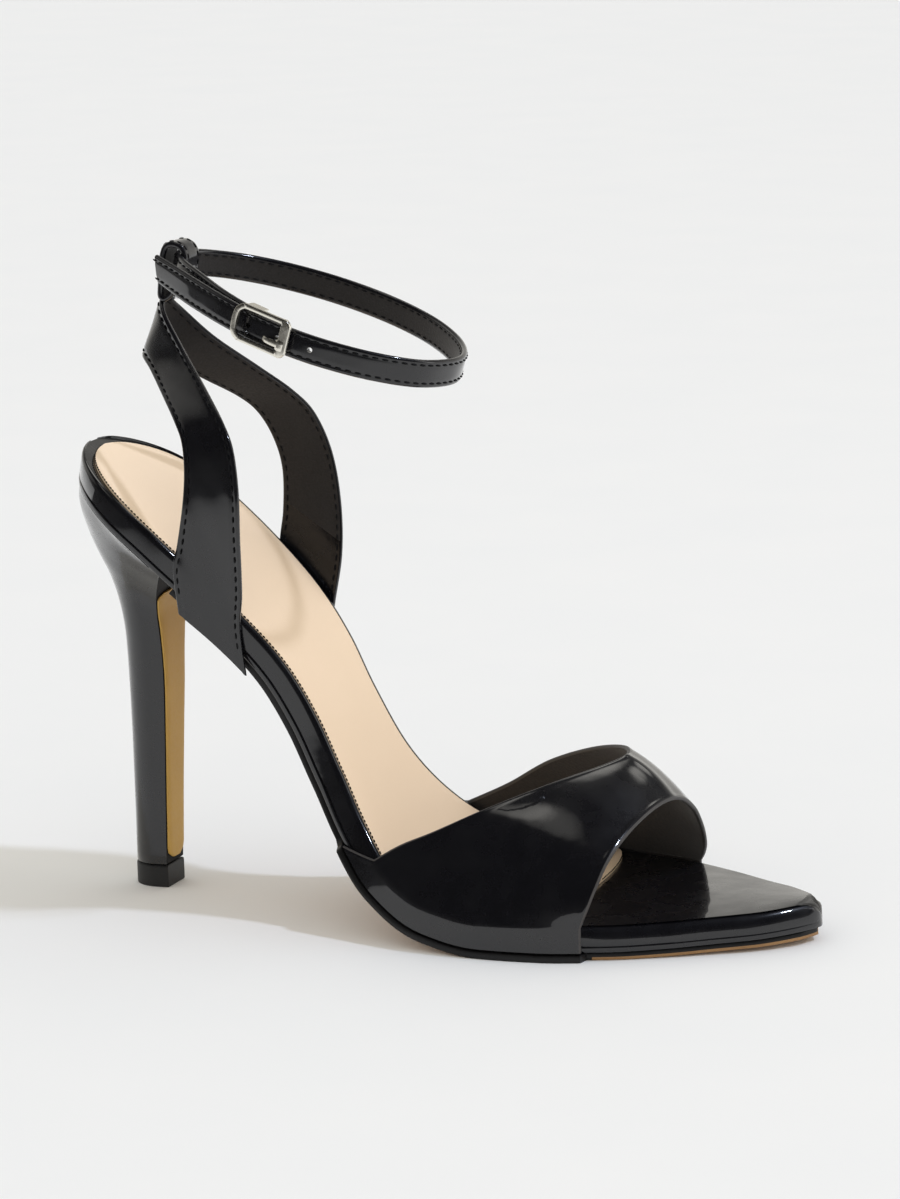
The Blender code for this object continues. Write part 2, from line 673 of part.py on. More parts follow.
def tube(name, points, radius, material, closed=False, sides=2):
    curve = bpy.data.curves.new(name, "CURVE")
    curve.dimensions = "3D"
    curve.bevel_depth = radius
    curve.bevel_resolution = sides
    curve.use_fill_caps = True
    spline = curve.splines.new("POLY")
    spline.points.add(len(points) - 1)
    for point, place in zip(spline.points, points):
        point.co = (*place, 1.0)
    spline.use_cyclic_u = closed
    obj = bpy.data.objects.new(name, curve)
    parts.objects.link(obj)
    bpy.context.view_layer.update()
    mesh = bpy.data.meshes.new_from_object(obj.evaluated_get(bpy.context.evaluated_depsgraph_get()))
    bpy.data.objects.remove(obj)
    bm = bmesh.new()
    bm.from_mesh(mesh)
    bmesh.ops.remove_doubles(bm, verts=bm.verts, dist=0.00001)
    bmesh.ops.recalc_face_normals(bm, faces=bm.faces)
    bm.to_mesh(mesh)
    bm.free()
    return add_object(name, mesh, material, 50.0)


def buckle_sizes():
    """Half length and half height of the frame's bars, and how far out they lie."""
    half_length = (BUCKLE_LENGTH - BUCKLE_BAR) / 2
    half_height = STRAP_WIDTH / 2 + BUCKLE_SIDE_CLEARANCE + BUCKLE_BAR / 2
    out = STRAP_WALL / 2 + GAP + BUCKLE_BAR / 2
    return half_length, half_height, out


def make_buckle_frame():
    half_length, half_height, out = buckle_sizes()
    corner = 1.6 * MM
    points = []
    for sx, sz, start in ((1, 1, 0), (-1, 1, 90), (-1, -1, 180), (1, -1, 270)):
        for step in range(5):
            angle = math.radians(start + 22.5 * step)
            along = sx * (half_length - corner) + corner * math.cos(angle)
            up = sz * (half_height - corner) + corner * math.sin(angle)
            bow = 0.9 * MM * max(0.0, along / half_length) ** 2
            points.append(buckle_place(along, up, out + bow))
    frame = tube("buckle_frame", points, BUCKLE_BAR / 2, METAL, closed=True)
    reach = prong_place()
    prong = [buckle_place(-half_length, 0, out), buckle_place(reach - 1.4 * MM, 0, out),
             buckle_place(reach - 0.2 * MM, 0, out - 0.6 * MM), buckle_place(reach, 0, -0.1 * MM)]
    return combine(frame, tube("prong", prong, PRONG_DIAMETER / 2, METAL), "UNION")


def make_buckle_hook():
    """The hook inside the buckle: a web between the strap's two layers, flanged over their edges."""
    top = STRAP_WIDTH / 2 + GAP
    web = STRAP_WALL / 2 + 2 * GAP
    outer, inner = STRAP_WALL / 2, -(STRAP_WALL * 1.5 + 3 * GAP + HOOK_WALL)
    profile = [(top, outer), (top + HOOK_WALL, outer), (top + HOOK_WALL, inner), (top, inner),
               (top, -web - HOOK_WALL), (-top, -web - HOOK_WALL), (-top, inner),
               (-top - HOOK_WALL, inner), (-top - HOOK_WALL, outer), (-top, outer),
               (-top, -web), (top, -web)]
    ends = [HOOK_AT * BUCKLE_LENGTH + share * HOOK_LENGTH for share in (-0.5, 0.5)]
    return loft("buckle_hook", [[buckle_place(end, up, out) for up, out in profile] for end in ends], METAL)


parts = bpy.data.collections.new("heeled_sandal")
cutters = bpy.data.collections.new("cutters")


def build():
    for obj in list(bpy.data.objects):
        bpy.data.objects.remove(obj, do_unlink=True)
    for collection in (parts, cutters):
        bpy.context.scene.collection.children.link(collection)
    make_outsole()
    make_footbed()
    make_sock_lining()
    make_heel()
    make_heel_breast()
    make_heel_lift()
    make_vamp()
    make_back_strap()
    make_ankle_strap()
    make_buckle_frame()
    make_buckle_hook()


PATENT = make_material("black_patent", (0.006, 0.006, 0.008), 0.12)
SOCK = make_material("nude_sock_lining", (0.80, 0.60, 0.44), 0.55)
SOLE = make_material("sole_leatherboard", (0.16, 0.09, 0.05), 0.6)
TAN = make_material("tan_breast", (0.42, 0.25, 0.11), 0.5)
RUBBER = make_material("black_top_piece", (0.012, 0.012, 0.013), 0.5)
METAL = make_material("polished_nickel", (0.82, 0.80, 0.74), 0.18, 1.0)

build()
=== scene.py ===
# A black patent heeled sandal for the right foot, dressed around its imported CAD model.
# Metres, +Z up, toe towards +X, inner side of the foot towards +Y, origin under the heel.
import math

import bmesh
import bpy
import numpy as np
from mathutils import Matrix, Vector


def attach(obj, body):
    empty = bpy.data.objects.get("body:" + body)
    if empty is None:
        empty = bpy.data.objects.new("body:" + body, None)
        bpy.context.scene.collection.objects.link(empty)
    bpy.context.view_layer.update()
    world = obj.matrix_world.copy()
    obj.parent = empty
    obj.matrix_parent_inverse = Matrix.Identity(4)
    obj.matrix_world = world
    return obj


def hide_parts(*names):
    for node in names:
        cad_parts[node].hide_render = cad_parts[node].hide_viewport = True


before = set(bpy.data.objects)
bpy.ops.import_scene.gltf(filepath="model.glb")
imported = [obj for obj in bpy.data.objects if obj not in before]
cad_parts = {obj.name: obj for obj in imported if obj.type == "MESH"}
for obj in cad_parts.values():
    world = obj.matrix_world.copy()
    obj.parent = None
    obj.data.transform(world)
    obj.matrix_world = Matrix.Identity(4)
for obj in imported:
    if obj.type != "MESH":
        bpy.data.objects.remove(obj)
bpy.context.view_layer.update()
mm = 0.001
gap = 0.3 * mm


# ---- small helpers

def linearColour(text, alpha=1.0):
    # sRGB hex to the linear values that shaders want
    values = [int(text[k:k + 2], 16) / 255 for k in (1, 3, 5)]
    return (*[v / 12.92 if v <= 0.04045 else ((v + 0.055) / 1.055) ** 2.4 for v in values], alpha)


def setInputs(node, inputs):
    # an input takes a value, an output, or a node, which stands for its first live output
    for key, value in inputs.items():
        if isinstance(value, bpy.types.Node):
            value = next(out for out in value.outputs if out.enabled)
        if isinstance(value, bpy.types.NodeSocket):
            node.id_data.links.new(value, node.inputs[key])
        else:
            node.inputs[key].default_value = value
    return node


def addNode(tree, kind, inputs=None, **settings):
    # one node with its settings and links
    node = tree.nodes.new(kind)
    for key, value in settings.items():
        setattr(node, key, value)
    return setInputs(node, inputs or {})


def addObject(name, data):
    added = bpy.data.objects.new(name, data)
    bpy.context.scene.collection.objects.link(added)
    return added


def interpolate(xs, ys, x):
    # a smooth curve through the points that never overshoots them
    last = len(xs) - 1
    if x <= xs[0]:
        return ys[0]
    if x >= xs[last]:
        return ys[last]
    k = max(i for i in range(last) if xs[i] <= x)
    step = [xs[i + 1] - xs[i] for i in range(last)]
    rate = [(ys[i + 1] - ys[i]) / step[i] for i in range(last)]

    def slope(i):
        if i == 0:
            return rate[0]
        if i == last:
            return rate[last - 1]
        if rate[i - 1] * rate[i] <= 0.0:
            return 0.0
        before = 2.0 * step[i] + step[i - 1]
        after = step[i] + 2.0 * step[i - 1]
        return (before + after) / (before / rate[i - 1] + after / rate[i])

    t = (x - xs[k]) / step[k]
    return ((2 * t ** 3 - 3 * t ** 2 + 1) * ys[k] + (t ** 3 - 2 * t ** 2 + t) * step[k] * slope(k)
            + (3 * t ** 2 - 2 * t ** 3) * ys[k + 1] + (t ** 3 - t ** 2) * step[k] * slope(k + 1))


def smoothCurve(points, perSpan, closed=False):
    # Catmull-Rom through points of any dimension
    points = [np.array(p, float) for p in points]
    ends = [points[0] * 2 - points[1]] + points + [points[-1] * 2 - points[-2]]
    if closed:
        ends = [points[-1]] + points + points[:2]
    out = []
    for k in range(1, len(ends) - 2):
        a, b, c, d = ends[k - 1:k + 3]
        for j in range(perSpan):
            t = j / perSpan
            out.append(0.5 * (2 * b + (c - a) * t + (2 * a - 5 * b + 4 * c - d) * t ** 2
                              + (3 * b - a - 3 * c + d) * t ** 3))
    if not closed:
        out.append(points[-1])
    return out


def easeStep(low, high, x):
    t = min(1.0, max(0.0, (x - low) / (high - low)))
    return t * t * (3 - 2 * t)


def roundEnd(x):
    # a quarter circle that rises from 0 to 1
    return math.sqrt(1 - (1 - min(1.0, max(0.0, x))) ** 2)


def dent(x, width):
    return math.exp(-(x / width) ** 2)


def unit(v):
    return v / np.maximum(np.linalg.norm(v, axis=-1, keepdims=True), 1e-12)


def walkAlong(line):
    # how far along a line each of its points lies
    return np.concatenate([[0], np.cumsum(np.linalg.norm(np.diff(line, axis=0), axis=1))])


def finishMesh(name, vertices, faces, materials, faceMaterials=None, sharp=38.0):
    # a mesh object at the origin, normals outwards, smooth but for its sharp edges
    mesh = bpy.data.meshes.new(name)
    mesh.from_pydata([tuple(v) for v in vertices], [], faces)
    for material in materials:
        mesh.materials.append(material)
    if faceMaterials is not None:
        mesh.polygons.foreach_set("material_index", faceMaterials)
    bm = bmesh.new()
    bm.from_mesh(mesh)
    bmesh.ops.remove_doubles(bm, verts=bm.verts, dist=0.000002)
    bmesh.ops.recalc_face_normals(bm, faces=bm.faces)
    bm.to_mesh(mesh)
    bm.free()
    mesh.shade_smooth()
    mesh.set_sharp_from_angle(angle=math.radians(sharp))
    return addObject(name, mesh)


def ringLoft(name, rings, materials, pick=None, closedAlong=False):
    # a solid through rings of the same count; pick gives a material for (ring, side)
    count = len(rings[0])
    vertices = [p for ring in rings for p in ring]
    faces, marks = [], []
    spans = len(rings) if closedAlong else len(rings) - 1
    for r in range(spans):
        a, b = r * count, ((r + 1) % len(rings)) * count
        for k in range(count):
            n = (k + 1) % count
            faces.append((a + k, a + n, b + n, b + k))
            marks.append(pick(r, k) if pick else 0)
    if not closedAlong:
        faces.append(tuple(range(count)))
        faces.append(tuple(range((len(rings) - 1) * count, len(rings) * count)))
        marks += [0, 0]
    return finishMesh(name, vertices, faces, materials, marks)


def bandMesh(name, rows, wall, materials, columns=15, face=None, lining=None, edgeMark=0, closed=False,
             wrapped=None):
    # a leather band: rows are lines across its outer face, wall is its thickness. face and lining
    # give offsets for (station, distance from edge a, distance from edge b), and wrapped tells
    # where the back wears the third material in place of the second
    grid = np.array(rows, float)
    count = len(grid)
    share = 0.5 - 0.5 * np.cos(np.pi * np.linspace(0, 1, columns))
    share = 0.55 * share + 0.45 * np.linspace(0, 1, columns)
    outer = np.zeros((count, columns, 3))
    edgeA, edgeB = np.zeros((count, columns)), np.zeros((count, columns))
    for s in range(count):
        line = grid[s]
        walked = walkAlong(line)
        places = wall / 2 + (walked[-1] - wall) * share
        for axis in range(3):
            outer[s, :, axis] = np.interp(places, walked, line[:, axis])
        edgeA[s], edgeB[s] = places, walked[-1] - places
    if closed:
        along = np.roll(outer, -1, axis=0) - np.roll(outer, 1, axis=0)
    else:
        along = np.gradient(outer, axis=0)
    across = np.gradient(outer, axis=1)
    normal = unit(np.cross(across, along))
    across = unit(across)
    lift, sink = [np.array([[rule(s / (count - 1), edgeA[s, c], edgeB[s, c]) if rule else 0.0
                             for c in range(columns)] for s in range(count)]) for rule in (face, lining)]
    front = outer + normal * lift[..., None]
    back = outer - normal * (wall + sink)[..., None]
    arcs = [math.radians(a) for a in (60, 30, 0, -30, -60)]
    vertices, faces, marks = [], [], []
    for s in range(count):
        vertices += list(front[s])
        for column, sign, order in ((-1, 1, arcs), (0, -1, arcs[::-1])):
            centre = outer[s, column] - normal[s, column] * wall / 2
            if column == 0:
                vertices += list(back[s][::-1])
            for a in order:
                vertices.append(centre + (sign * across[s, column] * math.cos(a)
                                          + normal[s, column] * math.sin(a)) * wall / 2)
    size = 2 * columns + 10
    spans = count if closed else count - 1
    for s in range(spans):
        a, b = s * size, ((s + 1) % count) * size
        for k in range(size):
            n = (k + 1) % size
            faces.append((a + k, b + k, b + n, a + n))
            inside = columns + 5 <= k < 2 * columns + 4
            edge = columns - 1 <= k < columns + 5 or k >= 2 * columns + 4
            bare = not wrapped or not wrapped(s / (count - 1))
            marks.append((1 if bare else 2) if inside else edgeMark if edge else 0)
    if not closed:
        for s in (0, count - 1):
            a = s * size
            inner = [a + columns + 5 + (columns - 1 - j) for j in range(columns)]
            for j in range(columns - 1):
                faces.append((a + j, a + j + 1, inner[j + 1], inner[j]))
                marks.append(edgeMark)
            faces.append(tuple(range(a + columns - 1, a + columns + 6)))
            faces.append(tuple([*range(a + 2 * columns + 4, a + size), a]))
            marks += [edgeMark, edgeMark]
    return finishMesh(name, vertices, faces, materials, marks, sharp=50.0)


def sweepMesh(name, path, profile, upward, materials, closed=False, scale=None):
    # a bar: profile is (side, out) pairs, turned along the path around the direction upward
    path = [np.array(p, float) for p in path]
    rings = []
    for k, point in enumerate(path):
        before = path[k - 1] if closed or k else path[0]
        after = path[(k + 1) % len(path)] if closed or k < len(path) - 1 else path[-1]
        ahead = unit(after - before)
        side = unit(np.cross(upward, ahead))
        out = unit(np.cross(ahead, side))
        size = scale[k] if scale else (1.0, 1.0)
        rings.append([point + side * a * size[0] + out * b * size[1] for a, b in profile])
    return ringLoft(name, rings, materials, closedAlong=closed)


def ovalProfile(halfSide, halfOut, count=12):
    turn = [2 * math.pi * k / count for k in range(count)]
    return [(halfSide * math.cos(a), halfOut * math.sin(a)) for a in turn]


def flatProfile(halfSide, halfOut):
    # a flat bar with softened corners, as it comes from the casting
    s, o = halfSide, halfOut
    return [(s, -0.5 * o), (s, 0.4 * o), (0.92 * s, 0.84 * o), (0.72 * s, o), (-0.72 * s, o),
            (-0.92 * s, 0.84 * o), (-s, 0.4 * o), (-s, -0.5 * o), (-0.7 * s, -o), (0.7 * s, -o)]


def bakedMesh(piece):
    # the piece's mesh with its modifiers applied
    bpy.context.view_layer.update()
    return bpy.data.meshes.new_from_object(piece.evaluated_get(bpy.context.evaluated_depsgraph_get()))


def dress(piece, nodes):
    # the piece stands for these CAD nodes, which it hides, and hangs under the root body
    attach(piece, "root")
    if nodes:
        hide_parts(*nodes)
    return piece


# ---- materials

def newMaterial(name):
    # a material, its tree and shader, and the coordinates of the piece that wears it
    material = bpy.data.materials.new(name)
    material.use_nodes = True
    tree = material.node_tree
    return material, tree, tree.nodes["Principled BSDF"], addNode(tree, "ShaderNodeTexCoord").outputs["Object"]


def patentLeather(name, colour, ripple=1.0, film=1.0, blur=0.035):
    # patent leather: black split hide under a poured polyurethane film. The film gives sharp,
    # slightly wavy reflections, and dust and handling leave faint cloudy patches in it
    material, tree, shader, place = newMaterial(name)
    waves = addNode(tree, "ShaderNodeTexNoise",
                    {"Vector": place, "Scale": 1 / (9 * mm), "Detail": 1.5, "Roughness": 0.4})
    peel = addNode(tree, "ShaderNodeTexNoise",
                   {"Vector": place, "Scale": 1 / (1.6 * mm), "Detail": 2.0, "Roughness": 0.5})
    both = addNode(tree, "ShaderNodeMath", {0: peel, 1: 0.035, 2: waves}, operation="MULTIPLY_ADD")
    bump = addNode(tree, "ShaderNodeBump", {"Strength": 0.30 * ripple, "Distance": 0.5 * mm, "Height": both})
    haze = addNode(tree, "ShaderNodeTexNoise",
                   {"Vector": place, "Scale": 1 / (14 * mm), "Detail": 5.0, "Roughness": 0.62})
    cloudy = addNode(tree, "ShaderNodeMapRange",
                     {"Value": haze, "From Min": 0.42, "From Max": 0.72, "To Min": 0.22, "To Max": 0.42})
    tint = addNode(tree, "ShaderNodeMix",
                   {"Factor": haze, "A": linearColour(colour), "B": linearColour("#131318")}, data_type="RGBA")
    setInputs(shader, {"Base Color": tint, "Roughness": cloudy, "Normal": bump, "Coat Normal": bump, "IOR": 1.5,
                       "Specular IOR Level": 0.2, "Coat Weight": film, "Coat Roughness": blur, "Coat IOR": 1.52})
    return material


def grainedLeather(name, light, dark, grainSize, roughness, bumpDepth, fibre=0.0, fade=None):
    # lining leather: a fine matte grain of small cells, with a little colour drift; fade gives the
    # two places along the shoe between which it goes from its light to its dark tone, a painted shade towards the
    # vamp
    material, tree, shader, place = newMaterial(name)
    cells = addNode(tree, "ShaderNodeTexVoronoi", {"Vector": place, "Scale": 1 / grainSize, "Smoothness": 0.6},
                    feature="SMOOTH_F1")
    share = addNode(tree, "ShaderNodeTexNoise",
                    {"Vector": place, "Scale": 1 / (22 * mm), "Detail": 6.0, "Roughness": 0.6})
    if fade:
        axes = addNode(tree, "ShaderNodeSeparateXYZ", {"Vector": place})
        # painted shade: the tone falls from light at the heel to dark towards the vamp
        shadeTowardVamp = addNode(tree, "ShaderNodeMapRange", {"Value": axes.outputs["X"], "From Min": fade[0],
                                                    "From Max": fade[1], "To Min": 0.80, "To Max": -0.05})
        share = addNode(tree, "ShaderNodeMath", {0: share, 1: 0.25, 2: shadeTowardVamp}, operation="MULTIPLY_ADD")
    tint = addNode(tree, "ShaderNodeMix", {"Factor": share, "A": linearColour(dark), "B": linearColour(light)},
                   data_type="RGBA")
    rough = addNode(tree, "ShaderNodeMapRange", {"Value": cells, "From Min": 0.0, "From Max": 0.8,
                                                 "To Min": roughness - 0.06, "To Max": roughness + 0.08})
    bump = addNode(tree, "ShaderNodeBump", {"Strength": 0.5, "Distance": bumpDepth, "Height": cells})
    setInputs(shader, {"Base Color": tint, "Roughness": rough, "Normal": bump, "IOR": 1.45,
                       "Sheen Weight": fibre, "Sheen Roughness": 0.5})
    return material


def leatherboard(name):
    # pressed leatherboard: tan, dull, with the fine layers of the board and a few scuffs
    material, tree, shader, place = newMaterial(name)
    layers = addNode(tree, "ShaderNodeTexNoise", {"Vector": place, "Scale": 1 / (0.7 * mm), "Detail": 3.0})
    scuffs = addNode(tree, "ShaderNodeTexNoise",
                     {"Vector": place, "Scale": 1 / (12 * mm), "Detail": 6.0, "Roughness": 0.7})
    mixed = addNode(tree, "ShaderNodeMath", {0: layers, 1: 0.4, 2: scuffs}, operation="MULTIPLY_ADD")
    tint = addNode(tree, "ShaderNodeMix",
                   {"Factor": mixed, "A": linearColour("#7A5535"), "B": linearColour("#A57E50")}, data_type="RGBA")
    bump = addNode(tree, "ShaderNodeBump", {"Strength": 0.35, "Distance": 0.15 * mm, "Height": layers})
    setInputs(shader, {"Base Color": tint, "Normal": bump, "Roughness": 0.55})
    return material


def grittyBlack(name, dark, light, grit, depth, roughness, shine=0.5):
    # a black coat or moulding with a fine grit in it, such as sanding marks or a tooled texture
    material, tree, shader, place = newMaterial(name)
    grains = addNode(tree, "ShaderNodeTexNoise", {"Vector": place, "Scale": 1 / grit, "Detail": 3.0})
    tint = addNode(tree, "ShaderNodeMix", {"Factor": grains, "A": linearColour(dark), "B": linearColour(light)},
                   data_type="RGBA")
    bump = addNode(tree, "ShaderNodeBump", {"Strength": depth, "Distance": 0.1 * mm, "Height": grains})
    setInputs(shader, {"Base Color": tint, "Normal": bump, "Roughness": roughness, "Specular IOR Level": shine})
    return material


def polishedNickel(name):
    # nickel plate over cast zinc: warm white metal, tumbled smooth, with faint hairline marks
    material, tree, shader, place = newMaterial(name)
    marks = addNode(tree, "ShaderNodeTexNoise", {"Vector": place, "Scale": 1 / (0.8 * mm), "Detail": 4.0})
    rough = addNode(tree, "ShaderNodeMapRange", {"Value": marks, "To Min": 0.14, "To Max": 0.34})
    bump = addNode(tree, "ShaderNodeBump", {"Strength": 0.12, "Distance": 0.08 * mm, "Height": marks})
    setInputs(shader, {"Base Color": linearColour("#EDE9DE"), "Metallic": 1.0, "Roughness": rough, "Normal": bump})
    return material


def twistedThread(name, colour):
    # polyester sewing thread: two-ply twist, seen as fine slanting bands
    material, tree, shader, place = newMaterial(name)
    twist = addNode(tree, "ShaderNodeTexWave", {"Vector": place, "Scale": 1 / (2.2 * mm), "Distortion": 0.6},
                    bands_direction="DIAGONAL")
    bump = addNode(tree, "ShaderNodeBump",
                   {"Strength": 0.5, "Distance": 0.08 * mm, "Height": twist.outputs["Fac"]})
    setInputs(shader, {"Base Color": linearColour(colour), "Normal": bump, "Roughness": 0.6,
                       "Specular IOR Level": 0.25})
    return material


blackPatent = patentLeather("blackPatentLeather", "#08080B")
creasedPatent = patentLeather("creasedPatentLeather", "#060607", ripple=2.5, film=0.35, blur=0.22)
# the cut edge's light grey is partly its own edge colour and partly a painted highlight along its rounded edge
cutEdgeWithHighlight = grainedLeather("cutEdgeWithPaintedHighlight", "#4C4947", "#343130", 0.5 * mm, 0.42, 0.05 * mm)
darkLining = grainedLeather("darkLiningLeather", "#272322", "#171515", 0.55 * mm, 0.72, 0.10 * mm, 0.25)
# the sock lining carries a painted shade, darker towards the vamp where it runs under it
nudeLining = grainedLeather("nudeSockLeather", "#FFE6C8", "#E8CDAD", 0.5 * mm, 0.50, 0.04 * mm, 0.12,
                            (0.0, 85 * mm))
tanFacing = grainedLeather("tanBreastFacing", "#D5AE5A", "#C09546", 0.8 * mm, 0.48, 0.05 * mm)
soleBoard = leatherboard("leatherboardSole")
# edge ink is a thin satin coat over sanded board, and the top piece is dense moulded
# polyurethane, dull, with a fine tooled texture
soleInk = grittyBlack("blackEdgeInk", "#0B0B0C", "#1B1A1B", 0.8 * mm, 0.3, 0.33, 0.3)
dullInk = grittyBlack("dullBlackInk", "#0B0B0C", "#1B1A1B", 0.8 * mm, 0.3, 0.75, 0.3)
blackRubber = grittyBlack("topPieceRubber", "#0C0C0D", "#1C1C1E", 0.5 * mm, 0.4, 0.5)
nickel = polishedNickel("polishedNickelPlate")
blackThread = twistedThread("blackThread", "#08080A")
print("materials ready")


# ---- footbed: the board under the foot, wrapped in patent

board = {
    "seatBack": 13.9 * mm, "run": 201.8 * mm, "seatHeight": 121.8 * mm, "seatWidth": 53.2 * mm,
    "waistWidth": 39.6 * mm, "ballWidth": 77.2 * mm, "seatRound": 26.0 * mm, "toeRound": 14.0 * mm,
    "thickness": 6.7 * mm, "edgeRound": 1.5 * mm, "toeEdgeRound": 3.7 * mm, "leanEnd": 0.15,
    "soleThickness": 2.0 * mm, "rimRise": 0.70 * mm, "rimInner": 1.8 * mm,
    "grooveDepth": 0.35 * mm, "grooveAt": 5.1 * mm, "toeCrown": 0.5 * mm, "tipRound": 4.2 * mm, "stations": 180,
}
profileAlong = [0.000, 0.064, 0.105, 0.163, 0.218, 0.271, 0.319, 0.357, 0.392, 0.431, 0.480, 0.546,
                0.615, 0.770, 0.900, 1.000]
profileRise = [1.000, 0.934, 0.884, 0.802, 0.713, 0.619, 0.519, 0.406, 0.289, 0.177, 0.079, 0.019,
               0.000, 0.000, 0.007, 0.015]
outlineRows = {  # along, swing and spread, as shares of these widths
    "seatWidth": [(0.000, -0.03, 0.98), (0.080, -0.03, 1.00), (0.160, -0.03, 1.00), (0.220, 0.00, 0.965)],
    "waistWidth": [(0.270, 0.03, 1.20), (0.320, -0.02, 1.07), (0.357, -0.06, 1.00), (0.392, -0.07, 1.06)],
    "ballWidth": [(0.431, -0.02, 0.655), (0.480, 0.02, 0.830), (0.546, 0.05, 0.965), (0.619, 0.06, 1.000),
                  (0.693, 0.07, 0.967), (0.767, 0.10, 0.868), (0.842, 0.11, 0.680), (0.901, 0.11, 0.492),
                  (0.950, 0.12, 0.345), (1.000, 0.145, 0.200)],
}
outlineAlong, outlineMiddle, outlineHalf = zip(*[
    (along, swing * board[width] / 2, spread * board[width] / 2)
    for width, rows in outlineRows.items() for along, swing, spread in rows])
ballTop = board["soleThickness"] + gap + board["thickness"]


def footbedHeight(along):
    rise = interpolate(profileAlong, profileRise, along)
    return ballTop + rise * (board["seatHeight"] - ballTop)


def footbedSlope(along):
    step = 0.006
    drop = footbedHeight(along - step) - footbedHeight(along + step)
    ahead = min(along + step, 1.0) - max(along - step, 0.0)
    return math.atan2(drop, ahead * board["run"])


def footbedSides(along, inset=0.0):
    middle = interpolate(outlineAlong, outlineMiddle, along)
    half = interpolate(outlineAlong, outlineHalf, along)
    half *= roundEnd(along * board["run"] / board["seatRound"])
    half *= roundEnd((1.0 - along) * board["run"] / board["toeRound"])
    half = max(half - inset, 0.15 * mm)
    return middle - half, middle + half


def onFootbed(along, y, depth=0.0):
    lean = footbedSlope(along) * (0.3 + 0.7 * min(1.0, along / board["leanEnd"]))
    x = along * board["run"] - board["seatBack"]
    return np.array((x - depth * math.sin(lean), y, footbedHeight(along) - depth * math.cos(lean)))


def stations(start, end, count):
    out = []
    for k in range(count + 1):
        t = k / count
        t = 0.4 * t + 0.6 * (0.5 - 0.5 * math.cos(math.pi * t))
        out.append(start + (end - start) * t)
    return out


def mirroredRing(along, middle, profile, upward=False):
    # a ring round the footbed from half a profile of (distance from the middle, depth or height)
    points = [(middle + w, d) for w, d in profile] + [(middle - w, d) for w, d in profile[:0:-1]]
    return [onFootbed(along, y, -d if upward else d) for y, d in points]


def footbedRing(along):
    # flat under the sock, with the patent rolled up into a low rim round it; plain at the toe
    low, high = footbedSides(along)
    half = (high - low) / 2
    middle = (high + low) / 2
    toe = easeStep(0.68, 0.78, along)
    r = min(board["edgeRound"] + (board["toeEdgeRound"] - board["edgeRound"]) * toe, 0.85 * half)
    crown = board["toeCrown"] * toe
    rise = board["rimRise"] * (1 - easeStep(0.66, 0.71, along)) * min(1.0, half / (9 * mm))
    inner = max(half - board["rimInner"], 0.4 * half)
    side = [(half - r * (1 - math.sin(a)), r * (1 - math.cos(a)) - rise)
            for a in (math.radians(15 * k) for k in range(0, 7))]
    groove, deep = board["grooveAt"], min(board["grooveDepth"] * (1 - 0.6 * toe), 0.3 * half)
    side += [(half - share * deep, groove + drop * mm)
             for share, drop in ((0.0, -0.35), (0.6, -0.14), (1.0, 0.0), (0.6, 0.14), (0.0, 0.35))]
    side += [(half, board["thickness"] - 0.4 * mm), (half - 0.3 * mm, board["thickness"])]
    top = [(inner * k / 6, -crown * (1 - (inner * k / 6 / half) ** 2)) for k in range(6)]
    shelf = min(half - r, inner + 0.9 * mm) - inner
    edgeCrown = -crown * (1 - (inner / half) ** 2)
    top += [(inner + shelf * t, edgeCrown * (1 - t) - rise * (0.5 - 0.5 * math.cos(math.pi * t)))
            for t in (0.0, 0.2, 0.4, 0.6, 0.8)]
    profile = top + side
    left = min(board["tipRound"], (1 - along) * board["run"])
    drop = 0.9 * (board["tipRound"] - math.sqrt(board["tipRound"] ** 2 - (board["tipRound"] - left) ** 2))
    if drop > 0:
        profile = [(w, max(d, drop)) for w, d in profile]
    return mirroredRing(along, middle, profile)


footbedPiece = ringLoft("footbedCover", [footbedRing(a) for a in stations(0.0012, 0.9996, board["stations"])],
                        [blackPatent])
dress(footbedPiece, ["footbed"])
print("footbed ready")


# ---- vamp: the wide band over the toes

vamp = {
    "wall": 1.3 * mm, "clearance": 0.12 * mm, "back": 0.460, "front": 0.748, "innerReach": 0.12,
    "footRake": 0.024, "height": 36.8 * mm, "fullness": 1.6 * mm, "perSpan": 8, "columns": 40,
    "bead": 0.10 * mm, "beadAt": 1.1 * mm, "beadWidth": 0.5 * mm, "ridge": 0.45 * mm, "ridgeAt": 0.522,
    "ridgeSwing": -0.012, "ridgeWidth": 0.014,
}
vampEdges = [  # back edge along, across, up, then front edge along, across, up
    (0.00, -0.85, 0.36, 1.00, -0.845, 0.05), (0.12, -0.80, 0.47, 1.03, -0.835, 0.16),
    (0.27, -0.735, 0.57, 1.06, -0.78, 0.30), (0.48, -0.57, 0.72, 1.09, -0.65, 0.46),
    (0.73, -0.30, 0.87, 1.13, -0.40, 0.60), (0.90, -0.03, 0.95, 1.175, -0.08, 0.69),
    (0.955, 0.20, 0.98, 1.21, 0.20, 0.68), (0.87, 0.45, 0.965, 1.22, 0.46, 0.54),
    (0.67, 0.67, 0.87, 1.21, 0.66, 0.36), (0.42, 0.83, 0.69, 1.19, 0.80, 0.20),
    (0.20, 0.93, 0.45, 1.155, 0.90, 0.09), (0.00, 0.965, 0.26, 1.12, 0.955, 0.02),
]


def rimFace(along, side, depth, standOff):
    low, high = footbedSides(along)
    return onFootbed(along, low - standOff if side < 0 else high + standOff, depth)


